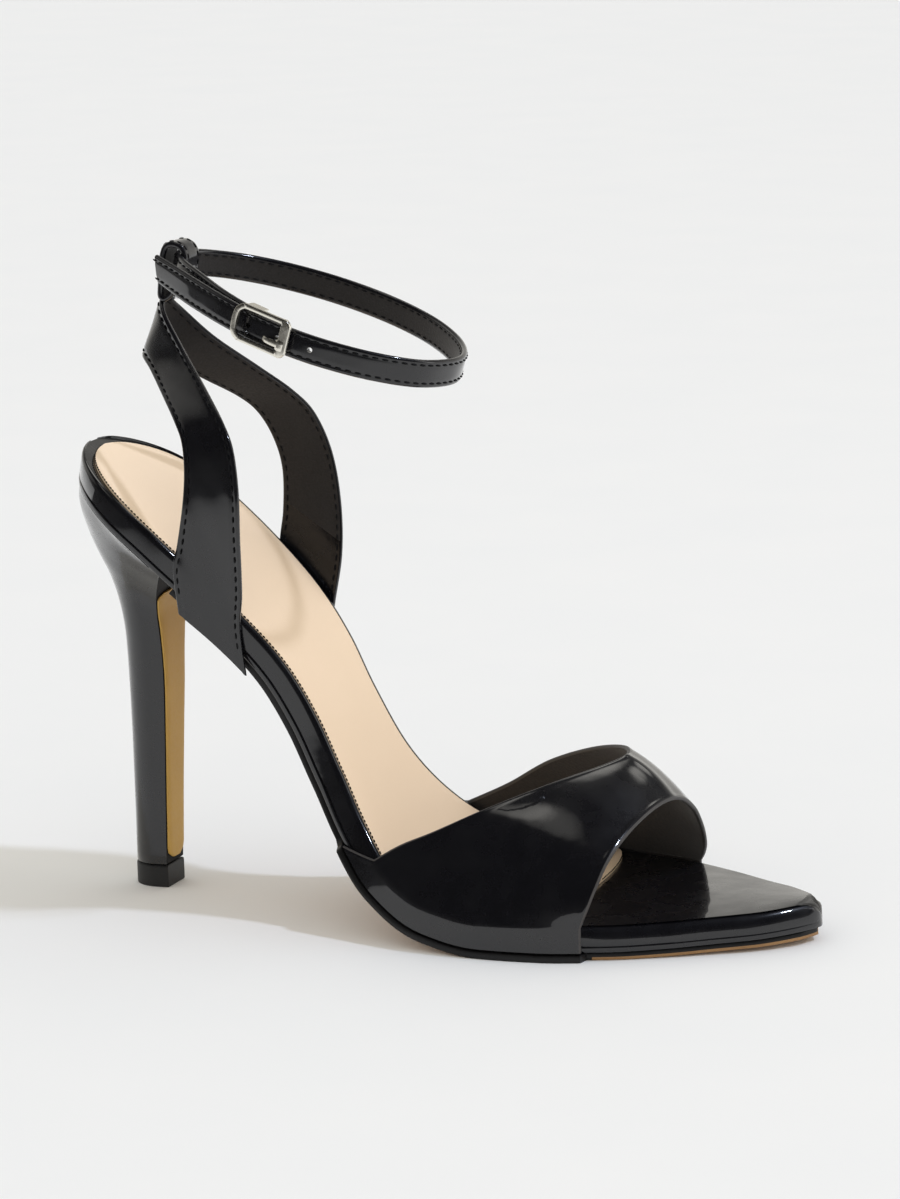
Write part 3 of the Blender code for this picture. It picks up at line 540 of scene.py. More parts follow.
def vampRows():
    standOff = gap + vamp["clearance"] + vamp["wall"]
    band = vamp["front"] - vamp["back"]
    backEdge, frontEdge = [smoothCurve([((vamp["back"] + e[k] * band) * board["run"] - board["seatBack"],
                                         e[k + 1] * board["ballWidth"] / 2, ballTop + e[k + 2] * vamp["height"])
                                        for e in vampEdges], vamp["perSpan"]) for k in (0, 3)]
    last = len(backEdge) - 1
    ends = {-1: vamp["front"], 1: vamp["front"] + vamp["innerReach"] * band}
    shares = [j / vamp["columns"] for j in range(vamp["columns"] + 1)]
    rows = []
    for k, (back, front) in enumerate(zip(backEdge, frontEdge)):
        g = k / last
        side = -1 if g < 0.5 else 1
        hold = max(0.0, 1.0 - 3.2 * min(g, 1.0 - g)) ** 1.5
        row = []
        for u in shares:
            rim = rimFace(vamp["back"] + (ends[side] - vamp["back"]) * u, side, 0.0, standOff)
            corner = 0 if side < 0 else last
            edge = backEdge[corner] * (1 - u) + frontEdge[corner] * u
            full = vamp["fullness"] * 4 * u * (1 - u) * math.sin(math.pi * g)
            point = back * (1 - u) + front * u + (rim - edge) * hold
            row.append(point + np.array((0, side * full * abs(2 * g - 1), full)))
        rows.append(row)
    foot = board["thickness"] - 0.3 * mm
    for side in (-1, 1):
        for depth in (1.4 * mm, 3.0 * mm, 4.8 * mm, foot):
            rake = vamp["footRake"] * (depth / foot)
            row = []
            for u in shares:
                along = vamp["back"] + (ends[side] - vamp["back"]) * u - rake * (1 - u) ** 3
                row.append(rimFace(along, side, depth, standOff))
            rows.insert(0 if side < 0 else len(rows), row)
    return rows


def vampFace(t, a, b):
    # a folded bead along both edges, and the soft ridge where the band bends over the toes
    bead = dent(a - vamp["beadAt"], vamp["beadWidth"]) + dent(b - vamp["beadAt"], vamp["beadWidth"])
    beyond = t - vamp["ridgeAt"] - vamp["ridgeSwing"] * a / (a + b)
    ridge = dent(beyond, vamp["ridgeWidth"]) - 0.6 * dent(beyond - 0.035, 0.022)
    return vamp["bead"] * bead + vamp["ridge"] * ridge


vampPiece = bandMesh("vampBand", vampRows(), vamp["wall"], [blackPatent, darkLining, cutEdgeWithHighlight],
                     columns=41, face=vampFace, edgeMark=2)
dress(vampPiece, ["vamp"])
print("vamp ready")


# ---- outsole

sole = {"inset": 1.1 * mm, "start": 0.197, "end": 0.9945, "tipRound": 3.0 * mm,
        "round": 0.35 * mm, "stations": 150, "bareEdge": 0.85 * mm, "bareFrom": 0.752}


def soleRing(along):
    proud = -(gap + vamp["clearance"] + vamp["wall"])
    inside = easeStep(vamp["back"] - vamp["footRake"] - 0.004, vamp["back"] - vamp["footRake"] + 0.002, along)
    inside *= 1 - easeStep(vamp["front"] - 0.0015, vamp["front"] + 0.0015, along)
    low, high = footbedSides(along, sole["inset"] + (proud - sole["inset"]) * inside)
    pull = (high - low) / 2 * (1 - roundEnd((sole["end"] - along) * board["run"] / sole["tipRound"] + 0.004))
    low, high = low + pull, high - pull
    r = min(sole["round"], 0.3 * (high - low))
    top = board["thickness"] + gap
    bottom = top + board["soleThickness"]
    inked = bottom - sole["bareEdge"]
    edge = [(r, top), (0.3 * r, top + 0.3 * r), (0.0, top + r), (0.0, inked), (0.0, bottom - r),
            (0.3 * r, bottom - 0.3 * r), (r, bottom)]
    profile = [(high - w, d) for w, d in edge] + [(low + w, d) for w, d in edge[::-1]]
    return [onFootbed(along, y, depth) for y, depth in profile]


soleStations = stations(sole["start"], sole["end"], sole["stations"])
for corner in (vamp["back"] - vamp["footRake"], vamp["front"]):
    soleStations += [corner - 0.0016, corner - 0.0005, corner + 0.0005, corner + 0.0016]
soleStations.sort()


def soleFinish(ring, side):
    # the underside is bare board; the edge is inked black, but for a bare line round the toe
    bare = soleStations[ring] > sole["bareFrom"]
    return 0 if side == 6 or bare and side in (3, 4, 5, 7, 8, 9) else 1


solePiece = ringLoft("outsoleBoard", [soleRing(a) for a in soleStations], [soleBoard, soleInk], pick=soleFinish)
dress(solePiece, ["outsole"])
print("outsole ready")


# ---- sock lining, stitched round its edge

sock = {"thickness": 0.8 * mm, "margin": 2.0 * mm, "backMargin": 1.2 * mm, "start": 0.017, "end": 0.697,
        "endRound": 8.0 * mm, "lift": 0.12 * mm, "stitchInset": 0.05 * mm, "stitchHeight": 0.82 * mm,
        "stitchPitch": 1.2 * mm, "stitchLength": 0.85 * mm, "stitchThickness": 0.40 * mm}


def sockSides(along, margin=0.0):
    # follows the footbed, a little further in round the heel, and ends in a round tip
    margin += sock["margin"] + sock["backMargin"] * (1 - easeStep(0.02, 0.16, along))
    middle = interpolate(outlineAlong, outlineMiddle, along)
    half = interpolate(outlineAlong, outlineHalf, along) - margin
    half *= roundEnd(max(0.0, along - sock["start"]) * board["run"] / (board["seatRound"] - margin) + 0.002)
    half *= roundEnd(max(0.0, sock["end"] - along) * board["run"] / sock["endRound"] + 0.002)
    return middle - half, middle + half


def sockRing(along):
    low, high = sockSides(along)
    half, middle = (high - low) / 2, (high + low) / 2
    r = min(0.45 * mm, 0.5 * half)
    height = sock["lift"] + sock["thickness"]
    side = [(half - r, height), (half - 0.3 * r, height - 0.12 * mm), (half, height - 0.45 * mm),
            (half, sock["lift"])]
    top = [((half - r) * k / 8, height + 0.12 * mm * (1 - (k / 8) ** 2)) for k in range(8)]
    return mirroredRing(along, middle, top + side, upward=True)


sockPiece = ringLoft("sockLeather", [sockRing(a) for a in stations(sock["start"], sock["end"], 150)], [nudeLining])
dress(sockPiece, ["sock_lining"])


def stitchTree():
    # stitches of one length, laid end to end along every spline of a curve
    tree = bpy.data.node_groups.new("stitchRow", "GeometryNodeTree")
    for name, kind in (("Path", "NodeSocketGeometry"), ("Pitch", "NodeSocketFloat"),
                       ("Length", "NodeSocketFloat"), ("Thickness", "NodeSocketFloat"),
                       ("Thread", "NodeSocketMaterial")):
        tree.interface.new_socket(name, in_out="INPUT", socket_type=kind)
    tree.interface.new_socket("Stitches", in_out="OUTPUT", socket_type="NodeSocketGeometry")
    given = addNode(tree, "NodeGroupInput").outputs
    spaced = addNode(tree, "GeometryNodeResampleCurve", {"Curve": given["Path"], "Length": given["Pitch"]},
                     mode="LENGTH")
    ahead = addNode(tree, "GeometryNodeInputTangent")
    turned = addNode(tree, "FunctionNodeAlignRotationToVector", {"Vector": ahead}, axis="Z")
    bead = addNode(tree, "GeometryNodeMeshUVSphere", {"Segments": 8, "Rings": 6, "Radius": 0.5})
    size = addNode(tree, "ShaderNodeCombineXYZ",
                   {"X": given["Thickness"], "Y": given["Thickness"], "Z": given["Length"]})
    laid = addNode(tree, "GeometryNodeInstanceOnPoints",
                   {"Points": spaced, "Instance": bead, "Rotation": turned, "Scale": size})
    real = addNode(tree, "GeometryNodeRealizeInstances", {"Geometry": laid})
    smooth = addNode(tree, "GeometryNodeSetShadeSmooth", {"Geometry": real})
    dyed = addNode(tree, "GeometryNodeSetMaterial", {"Geometry": smooth, "Material": given["Thread"]})
    addNode(tree, "NodeGroupOutput", {"Stitches": dyed})
    return tree


sewing = stitchTree()
sewingInputs = {item.name: item.identifier for item in sewing.interface.items_tree
                if item.item_type == "SOCKET" and item.in_out == "INPUT"}


def sewRows(name, paths, sizes, closed=False):
    # runs the stitch tree along the given lines as a plain mesh; sizes has the stitches' measures
    curve = bpy.data.curves.new(name + "Path", "CURVE")
    curve.dimensions = "3D"
    for path in paths:
        spline = curve.splines.new("POLY")
        spline.points.add(len(path) - 1)
        for point, place in zip(spline.points, path):
            point.co = (*place, 1.0)
        spline.use_cyclic_u = closed
    guide = addObject(name + "Path", curve)
    rule = guide.modifiers.new("sewing", "NODES")
    rule.node_group = sewing
    for key, value in (("Pitch", sizes["stitchPitch"]), ("Length", sizes["stitchLength"]),
                       ("Thickness", sizes["stitchThickness"]), ("Thread", blackThread)):
        rule[sewingInputs[key]] = value
    mesh = bakedMesh(guide)
    bpy.data.objects.remove(guide)
    mesh.name = name
    dress(addObject(name, mesh), [])


def sockStitchPath():
    spots = stations(sock["start"] + 0.0006, sock["end"] - 0.0006, 140)
    return [[onFootbed(along, sockSides(along, sock["stitchInset"])[side], -sock["stitchHeight"])
             for along in spots] for side in (0, 1)]


sewRows("sockStitches", sockStitchPath(), sock)
print("sock lining ready")


# ---- heel, its tan breast and its top piece

heel = {
    "liftHeight": 6.2 * mm, "liftDepth": 11.4 * mm, "liftWidth": 10.6 * mm, "stemDepth": 11.0 * mm,
    "stemWidth": 11.0 * mm, "seatEnd": 0.166, "breastWall": 0.7 * mm, "border": 0.5 * mm,
    "breastTop": 0.945, "breastFoot": 0.018, "breastTopRound": 5.0 * mm, "breastFootRound": 3.0 * mm,
    "perSpan": 7, "around": 26,
}
heelSections = [  # level, back, front, width, tilt in degrees
    (1.075, -1.445, 1.27, 3.90, 31), (1.007, -1.33, 1.045, 3.10, 28), (0.948, -1.13, 0.855, 2.50, 26),
    (0.891, -0.873, 0.727, 2.04, 23), (0.823, -0.673, 0.655, 1.69, 17), (0.734, -0.545, 0.655, 1.44, 9),
    (0.609, -0.51, 0.655, 1.25, 0), (0.438, -0.49, 0.61, 1.145, 0), (0.211, -0.49, 0.54, 1.055, 0),
    (0.000, -0.50, 0.49, 1.00, 0),
]
seatFront = onFootbed(heel["seatEnd"], 0.0, board["thickness"] + gap)
stemBase = heel["liftHeight"] + gap
stemTall = seatFront[2] - stemBase


def heelOutline(count):
    # a round back and a nearly flat front, as shares of depth and half width
    side = []
    for k in range(count):
        t = 0.5 - 0.5 * math.cos(math.pi * k / (count - 1))
        flat = 1.0 - 0.10 * max(0.0, t - 0.62) / 0.38
        side.append((t, roundEnd(t / 0.62) * flat))
    return [(t, -w) for t, w in side] + [(t, w) for t, w in reversed(side[1:])]


def heelLine(level):
    # back and front point, and half width, of the stem at a level
    levels = [s[0] for s in heelSections[::-1]]
    back, front, width, tilt = [interpolate(levels, [s[k] for s in heelSections[::-1]], level)
                                for k in (1, 2, 3, 4)]
    back, front = back * heel["stemDepth"], front * heel["stemDepth"]
    z = stemBase + level * stemTall
    tip = math.tan(math.radians(tilt)) * (front - back) / 2
    return np.array((back, 0, z + tip)), np.array((front, 0, z - tip)), width * heel["stemWidth"] / 2


def heelRings():
    outline = heelOutline(heel["around"])
    seat = []
    for t, w in outline:
        along = 0.006 + (heel["seatEnd"] - 0.006) * t
        low, high = footbedSides(along, 0.5 * mm)
        y = (low if w < 0 else high) * (1 if 0 < t < 1 else abs(w))
        seat.append(onFootbed(along, y, board["thickness"] + gap))
    coarse = [np.array(seat)]
    for section in heelSections:
        back, front, half = heelLine(section[0])
        coarse.append(np.array([back + (front - back) * t + np.array((0, w * half, 0)) for t, w in outline]))
    rings = smoothCurve(coarse, heel["perSpan"])
    foot = rings[-1]
    middle = foot.mean(axis=0)
    return rings[:-1] + [foot + np.array((0, 0, 0.25 * mm)), middle + (foot - middle) * 0.975]


def heelFinish(ring, side):
    # the flat front, which shows as a border round the tan facing, is inked and dull
    return 1 if side == heel["around"] - 1 else 0


heelPiece = ringLoft("heelCover", heelRings(), [blackPatent, dullInk], pick=heelFinish)
dress(heelPiece, ["heel"])


def breastRings():
    rings = []
    for k in range(60):
        level = heel["breastTop"] + (heel["breastFoot"] - heel["breastTop"]) * k / 59
        front, half = heelLine(level)[1:]
        wide = max(0.4 * mm, 0.90 * half - heel["border"])
        wide *= roundEnd((heel["breastTop"] - level) * stemTall / heel["breastTopRound"] + 0.01)
        wide *= 0.35 + 0.65 * roundEnd((level - heel["breastFoot"]) * stemTall / heel["breastFootRound"] + 0.01)
        base, wall = front + np.array((0.12 * mm, 0, 0)), heel["breastWall"]
        half = [(0.2, 1.0), (0.6, 1.0), (0.86, 0.9), (1.0, 0.55), (1.0, 0.0)]
        section = [(-s, out) for s, out in half[::-1]] + half
        rings.append([base + np.array((out * wall, s * wide, 0)) for s, out in section])
    return rings


breastPiece = ringLoft("breastFacing", breastRings(), [tanFacing])
dress(breastPiece, ["heel_breast"])


def liftRings():
    outline = heelOutline(heel["around"])
    rings = []
    tall = heel["liftHeight"]
    for z, grow in ((0.0, 0.955), (0.15 * mm, 0.985), (0.5 * mm, 1.0), (tall - 0.7 * mm, 1.0),
                    (tall - 0.3 * mm, 0.99), (tall - 0.1 * mm, 0.97), (tall, 0.94)):
        rings.append([np.array(((t - 0.5) * heel["liftDepth"] * grow, w * heel["liftWidth"] / 2 * grow, z))
                      for t, w in outline])
    return rings


liftPiece = ringLoft("topPiece", liftRings(), [blackRubber])
dress(liftPiece, ["heel_lift"])
print("heel ready")


# ---- back strap: two legs, the wishbone and its loop

strap = {
    "wall": 1.3 * mm, "legBack": 0.186, "legFront": 0.271, "innerShift": 0.022, "rakeBack": 0.032,
    "rakeFront": 0.033, "tuck": 0.9 * mm, "reach": 41.0 * mm, "span": 59.6 * mm, "rise": 36.2 * mm,
    "seamInset": 1.7 * mm, "seamDip": 0.15 * mm, "stitchPitch": 2.7 * mm, "stitchLength": 1.75 * mm,
    "stitchThickness": 0.48 * mm,
}
loop = {"width": 8.2 * mm, "height": 14.8 * mm, "depth": 9.8 * mm, "wall": 1.7 * mm, "seamInset": 1.3 * mm,
        "seamDip": 0.08 * mm, "stitchPitch": 2.4 * mm, "stitchLength": 1.5 * mm, "stitchThickness": 0.36 * mm}
outerSeam, innerSeam = 0.02 * mm, 0.03 * mm  # how far the stitches' middles stand off the two faces
legSections = [  # lower edge along, across, up, upper edge along, across, up, inner leg ahead
    (0.925, 0.955, -0.600, 1.356, 0.912, -0.930, 0.100), (0.975, 0.955, -0.290, 1.382, 0.992, -0.530, 0.050),
    (0.983, 0.922, -0.050, 1.386, 1.000, -0.160, -0.010), (0.944, 0.846, 0.150, 1.336, 0.940, 0.136, -0.055),
    (0.851, 0.725, 0.286, 1.230, 0.826, 0.320, -0.065), (0.693, 0.503, 0.428, 1.046, 0.631, 0.520, -0.060),
    (0.522, 0.260, 0.570, 0.803, 0.380, 0.765, -0.040), (0.412, 0.105, 0.640, 0.600, 0.185, 1.010, -0.012),
    (0.388, 0.000, 0.660, 0.546, 0.000, 1.115, 0.000),
]
loopPoints = [(0.02, 0.15), (0.08, 0.45), (0.12, 0.72), (0.26, 0.90), (0.52, 0.955), (0.80, 0.89),
              (0.94, 0.72), (0.92, 0.50), (0.78, 0.28), (0.60, 0.08), (0.42, -0.07), (0.20, -0.14),
              (0.02, -0.06)]


def legRows(side, across):
    shift = strap["innerShift"] if side > 0 else 0.0
    standOff = gap + vamp["clearance"] + strap["wall"]
    soleDepth = board["thickness"] + gap + board["soleThickness"]
    shares = [j / across for j in range(across + 1)]
    foot, rim = [], []
    for t in shares:
        back = strap["legBack"] + shift + (strap["legFront"] - strap["legBack"]) * t
        rake = strap["rakeBack"] + (strap["rakeFront"] - strap["rakeBack"]) * t
        foot.append(rimFace(back + rake, side, soleDepth + strap["tuck"] * (1 - t), standOff))
        rim.append(rimFace(back, side, 1.4 * mm, standOff))
    rows = [foot, rim]
    for s in legSections:
        x = (s[6] if side > 0 else 0.0) * strap["reach"] - board["seatBack"]
        half = side * strap["span"] / 2
        low, high = [np.array((x + s[k] * strap["reach"], s[k + 1] * half,
                               board["seatHeight"] + s[k + 2] * strap["rise"])) for k in (0, 3)]
        rows.append([low * (1 - t) + high * t for t in shares])
    return rows


def strapRows(perSpan=9, across=8):
    rows = legRows(-1, across) + legRows(1, across)[-2::-1]
    columns = [smoothCurve([row[j] for row in rows], perSpan) for j in range(across + 1)]
    return [[column[k] for column in columns] for k in range(len(columns[0]))]


def seamProfile(inset, dip, wave=0.0, length=1.0):
    # the face is drawn down along the seams, and lies in slow uneven waves between them
    def face(t, a, b):
        seam = dent(a - inset, 0.55 * mm) + dent(b - inset, 0.55 * mm)
        run, side = t * length / mm, a / mm
        slow = math.sin(run / 5.1 + 0.9 * math.sin(side / 3.7 + run / 13)) + 0.6 * math.sin(
            run / 2.3 + side / 2.1 + 1.3)
        hold = min(1.0, min(a, b) / (2.5 * mm))
        return wave * slow * hold - dip * seam
    return face


def crinkledLining(t, a, b):
    # the patent is turned in at both feet of the strap and gathers in fine folds there
    near = easeStep(0.865, 0.900, t) + 1 - easeStep(0.100, 0.135, t)
    wave = math.sin(t * 660 + 1.3 * math.sin(a / mm * 0.8)) * (0.6 + 0.4 * math.sin(a / mm * 1.7 + t * 90))
    return -0.26 * mm * near * (0.5 + 0.5 * wave) * min(1.0, min(a, b) / (1.5 * mm))


def turnedIn(t):
    return t > 0.885 or t < 0.115


def rowLine(rows, inset, fromStart, lift):
    # a line on a band's outer face, at a distance from one of its edges
    grid = np.array(rows, float)[:, ::1 if fromStart else -1]
    line = []
    for row in grid:
        line.append([np.interp(inset, walkAlong(row), row[:, k]) for k in range(3)])
    line = np.array(line)
    across = unit(grid[:, 1] - grid[:, 0])
    along = np.gradient(line, axis=0)
    normal = unit(np.cross(across, along)) * (1 if fromStart else -1)
    return line + normal * lift


def seamLines(rows, inset, lifts):
    return [rowLine(rows, inset, fromStart, lift) for fromStart in (True, False) for lift in lifts]


wishboneRows = strapRows()
wishbone = bandMesh("backStrap", wishboneRows, strap["wall"], [blackPatent, darkLining, creasedPatent], columns=25,
                    face=seamProfile(strap["seamInset"], strap["seamDip"], 0.06 * mm, 0.21), lining=crinkledLining,
                    wrapped=turnedIn)
dress(wishbone, ["back_strap"])
loopRoot = np.array((legSections[-1][3] * strap["reach"] - board["seatBack"], 0,
                     board["seatHeight"] + legSections[-1][5] * strap["rise"]))
loopLine = smoothCurve([loopRoot + np.array((a * loop["depth"], 0, u * loop["height"])) for a, u in loopPoints],
                       6, closed=True)
loopRows = [[p + np.array((0, loop["width"] * (0.5 - k / 6), 0)) for k in range(7)] for p in loopLine]
loopPiece = bandMesh("strapLoop", loopRows, loop["wall"], [blackPatent, darkLining], columns=13,
                     face=seamProfile(loop["seamInset"], loop["seamDip"]), closed=True)
dress(loopPiece, [])
seams = seamLines(wishboneRows, strap["seamInset"], (outerSeam, -strap["wall"] - innerSeam))
sewRows("backStrapStitches", [seam[5:-5] for seam in seams], strap)
sewRows("loopStitches", seamLines(loopRows, loop["seamInset"], (outerSeam,)), loop, closed=True)
print("back strap ready")


# ---- ankle strap and buckle

ankle = {
    "width": 7.5 * mm, "wall": 1.7 * mm, "length": 80.8 * mm, "span": 59.4 * mm, "tilt": math.radians(16.7),
    "inLoopAlong": 0.49, "inLoopUp": 0.532, "holeDiameter": 1.4 * mm, "holePitch": 9.3 * mm,
    "seamInset": 1.3 * mm, "seamDip": 0.14 * mm, "stitchPitch": 2.6 * mm, "stitchLength": 1.7 * mm,
    "stitchThickness": 0.48 * mm,
}
buckle = {
    "length": 15.4 * mm, "bar": 1.7 * mm, "sideClearance": -0.05 * mm, "at": 0.826, "bow": 0.9 * mm,
    "corner": 1.9 * mm, "squareCorner": 1.5 * mm, "reachOut": 0.8 * mm, "railHalf": 0.66 * mm,
    "railThick": 1.15 * mm, "rise": 0.75 * mm, "bulge": 0.8 * mm, "broad": 1.25, "slim": 0.15,
    "prongAt": -0.31, "prongDown": 1.0 * mm, "prongHalf": 0.80 * mm, "stemRadius": 0.5 * mm,
    "knuckleSide": 1.45 * mm, "knuckleOut": 0.85 * mm, "hookAt": 0.34, "hookLength": 5.0 * mm,
    "hookWall": 0.6 * mm,
}
ankleRoute = [  # along, across, lean
    (0.440, -0.456, 1.0), (0.370, -0.420, 1.0), (0.270, -0.345, 1.0), (0.160, -0.235, 1.0), (0.060, -0.130, 1.0),
    (0.004, -0.035, 1.0), (0.004, 0.045, 1.0), (0.050, 0.170, 1.0), (0.135, 0.300, 1.0), (0.260, 0.405, 1.0),
    (0.420, 0.466, 1.0), (0.600, 0.458, 1.0), (0.770, 0.372, 1.0), (0.905, 0.215, 1.0), (0.985, 0.030, 1.0),
    (0.998, -0.140, 1.0), (0.945, -0.330, 1.0), (0.830, -0.462, 1.0), (0.690, -0.530, 1.0), (0.560, -0.540, 1.0),
    (0.440, -0.510, 1.0), (0.320, -0.446, 1.0), (0.180, -0.345, 0.8), (0.085, -0.265, 0.3), (0.000, -0.193, -0.3),
]
ankleStart = loopRoot + np.array((ankle["inLoopAlong"] * loop["depth"], 0, ankle["inLoopUp"] * loop["height"]))


def strapUp(lean=1.0):
    return np.array((math.sin(lean * ankle["tilt"]), 0, math.cos(lean * ankle["tilt"])))


def ankleLine(perSpan):
    points = []
    for along, across, lean in ankleRoute:
        run = along * ankle["length"]
        place = ankleStart + np.array((run, across * ankle["span"], -run * math.tan(ankle["tilt"])))
        points.append((*place, lean))
    return smoothCurve(points, perSpan)


def ankleRows(perSpan=11, across=6):
    line = ankleLine(perSpan)
    rows = []
    for k, entry in enumerate(line):
        point, up = entry[:3], strapUp(entry[3])
        ahead = unit(line[min(k + 1, len(line) - 1)][:3] - line[max(k - 1, 0)][:3])
        face = point + np.cross(up, ahead) * ankle["wall"] / 2
        rows.append([face + up * ankle["width"] * (j / across - 0.5) for j in range(across + 1)])
    return rows


def placeOn(line, length):
    walked = 0.0
    for a, b in zip(line, line[1:]):
        span = np.linalg.norm(b[:3] - a[:3])
        if walked + span >= length:
            ahead = (b[:3] - a[:3]) / span
            return a[:3] + ahead * (length - walked), ahead
        walked += span
    return line[-1][:3], unit(line[-1][:3] - line[-2][:3])


coarseLine = ankleLine(4)
strapLength = sum(np.linalg.norm(b[:3] - a[:3]) for a, b in zip(coarseLine, coarseLine[1:]))
buckleMiddle, buckleAhead = placeOn(coarseLine, buckle["at"] * strapLength)
buckleUp = strapUp()
buckleOut = unit(np.cross(buckleUp, buckleAhead))


def atBuckle(along, up, out):
    return buckleMiddle + buckleAhead * along + buckleUp * up + buckleOut * out


fineRows = ankleRows()
anklePiece = bandMesh("ankleStrap", fineRows, ankle["wall"], [blackPatent, darkLining], columns=15,
                      face=seamProfile(ankle["seamInset"], ankle["seamDip"], 0.035 * mm, 0.30))


def punchHoles(piece):
    # three plain punched holes, the middle one on the prong
    for k in (-1, 0, 1):
        middle = buckle["at"] * strapLength + buckle["prongAt"] * buckle["length"] + k * ankle["holePitch"]
        centre, ahead = placeOn(coarseLine, middle)
        out = Vector(unit(np.cross(buckleUp, ahead)))
        bm = bmesh.new()
        turn = out.to_track_quat("Z", "Y").to_matrix().to_4x4()
        turn.translation = Vector(centre)
        radius = ankle["holeDiameter"] / 2
        bmesh.ops.create_cone(bm, cap_ends=True, segments=20, radius1=radius, radius2=radius,
                              depth=4 * ankle["wall"], matrix=turn)
        mesh = bpy.data.meshes.new("punch")
        bm.to_mesh(mesh)
        bm.free()
        punch = addObject("punch", mesh)
        cut = piece.modifiers.new("punch", "BOOLEAN")
        cut.operation, cut.solver, cut.object = "DIFFERENCE", "EXACT", punch
        cutMesh = bakedMesh(piece)
        piece.modifiers.clear()
        piece.data = cutMesh
        bpy.data.objects.remove(punch)


punchHoles(anklePiece)
dress(anklePiece, ["ankle_strap"])
sewRows("ankleStrapStitches", seamLines(fineRows, ankle["seamInset"], (outerSeam, -ankle["wall"] - innerSeam)),
        ankle)
print("ankle strap ready")


def bucklePieces():
    # a cast frame: plain top and bottom rails, a broad flat bar on the right that carries the
    # prong, and a broad bar on the left that bows out over the strap's tail
    halfLength = (buckle["length"] - buckle["bar"]) / 2
    halfHeight = ankle["width"] / 2 + buckle["sideClearance"] + buckle["railHalf"]
    out = ankle["wall"] / 2 + gap + buckle["railThick"] / 2
    points, scale = [], []

    def addPoint(along, up, wide):
        share = max(0.0, along / halfLength)
        bulge = buckle["bulge"] * share ** 4 * (1 - (up / halfHeight) ** 2)
        points.append(atBuckle(along + bulge, up + buckle["rise"], out + buckle["bow"] * share ** 2))
        scale.append((1.0 + wide, 1.0))

    for sx, sz, start in ((1, 1, 0), (-1, 1, 90), (-1, -1, 180), (1, -1, 270)):
        r, broad = (buckle["corner"], buckle["slim"]) if sx > 0 else (buckle["squareCorner"], buckle["broad"])
        reach = halfLength + (0.0 if sx > 0 else buckle["reachOut"])
        for step in range(6):
            angle = math.radians(start + 90 * step / 5)
            addPoint(sx * (reach - r) + r * math.cos(angle), sz * (halfHeight - r) + r * math.sin(angle),
                     abs(math.cos(angle)) * broad)
        if sx != sz:
            for up in (-0.5, 0.0, 0.5):
                addPoint(sx * reach, sx * up * halfHeight, broad)
    frameBar = sweepMesh("buckleFrame", smoothCurve(points, 3, closed=True),
                         flatProfile(buckle["railHalf"], buckle["railThick"] / 2), buckleOut, [nickel],
                         closed=True, scale=smoothCurve(scale, 3, closed=True))
    reach = buckle["prongAt"] * buckle["length"]
    pinLine = smoothCurve([atBuckle(along, -buckle["prongDown"], out + lift * mm) for along, lift in (
        (-halfLength - 0.2 * mm, 0.35), (reach - 0.2 * mm, 0.55), (reach + 1.8 * mm, 0.45),
        (reach + 3.0 * mm, 0.05))], 5)
    taper = [(1.0 - 0.25 * (k / (len(pinLine) - 1)) ** 3,) * 2 for k in range(len(pinLine))]
    prong = sweepMesh("bucklePin", pinLine, flatProfile(buckle["prongHalf"], 0.5 * mm), buckleOut, [nickel],
                      scale=taper)
    stem = sweepMesh("bucklePinStem", [atBuckle(reach, -0.2 * mm, -ankle["wall"] / 2),
                                       atBuckle(reach, -0.9 * mm, out)],
                     ovalProfile(buckle["stemRadius"], buckle["stemRadius"]), buckleAhead, [nickel])
    knuckle = sweepMesh("buckleKnuckle", [atBuckle(-halfLength - 0.2 * mm, h * mm, out + 0.12 * mm)
                                          for h in (-2.4, -2.2, -1.5, -0.7, 0.0, 0.2)],
                        ovalProfile(buckle["knuckleSide"], buckle["knuckleOut"]), buckleOut, [nickel],
                        scale=[(k, k) for k in (0.85, 1.0, 1.0, 1.0, 1.0, 0.85)])
    return frameBar, [prong, stem, knuckle]


def joinPieces(main, others):
    # several meshes become one object, kept as separate closed shells
    bm = bmesh.new()
    bm.from_mesh(main.data)
    for other in others:
        bm.from_mesh(other.data)
        bpy.data.objects.remove(other)
    bm.to_mesh(main.data)
    bm.free()
    return main


framePiece, smallPieces = bucklePieces()
dress(joinPieces(framePiece, smallPieces), ["buckle_frame"])


def hookPiece():
    top = ankle["width"] / 2 + gap
    web = ankle["wall"] / 2 + 2 * gap
    wall = buckle["hookWall"]
    outer, inner = ankle["wall"] / 2, -(ankle["wall"] * 1.5 + 3 * gap + wall)
    profile = [(top, outer), (top + wall, outer), (top + wall, inner), (top, inner), (top, -web - wall),
               (-top, -web - wall), (-top, inner), (-top - wall, inner), (-top - wall, outer),
               (-top, outer), (-top, -web), (top, -web)]
    ends = [buckle["hookAt"] * buckle["length"] + share * buckle["hookLength"] for share in (-0.5, 0.5)]
    piece = ringLoft("buckleHook", [[atBuckle(end, up, out) for up, out in profile] for end in ends], [nickel])
    bevel = piece.modifiers.new("soften", "BEVEL")
    bevel.width, bevel.segments, bevel.limit_method = 0.12 * mm, 2, "ANGLE"
    return piece


dress(hookPiece(), ["buckle_hook"])
print("buckle ready")


# ---- floor, light and camera

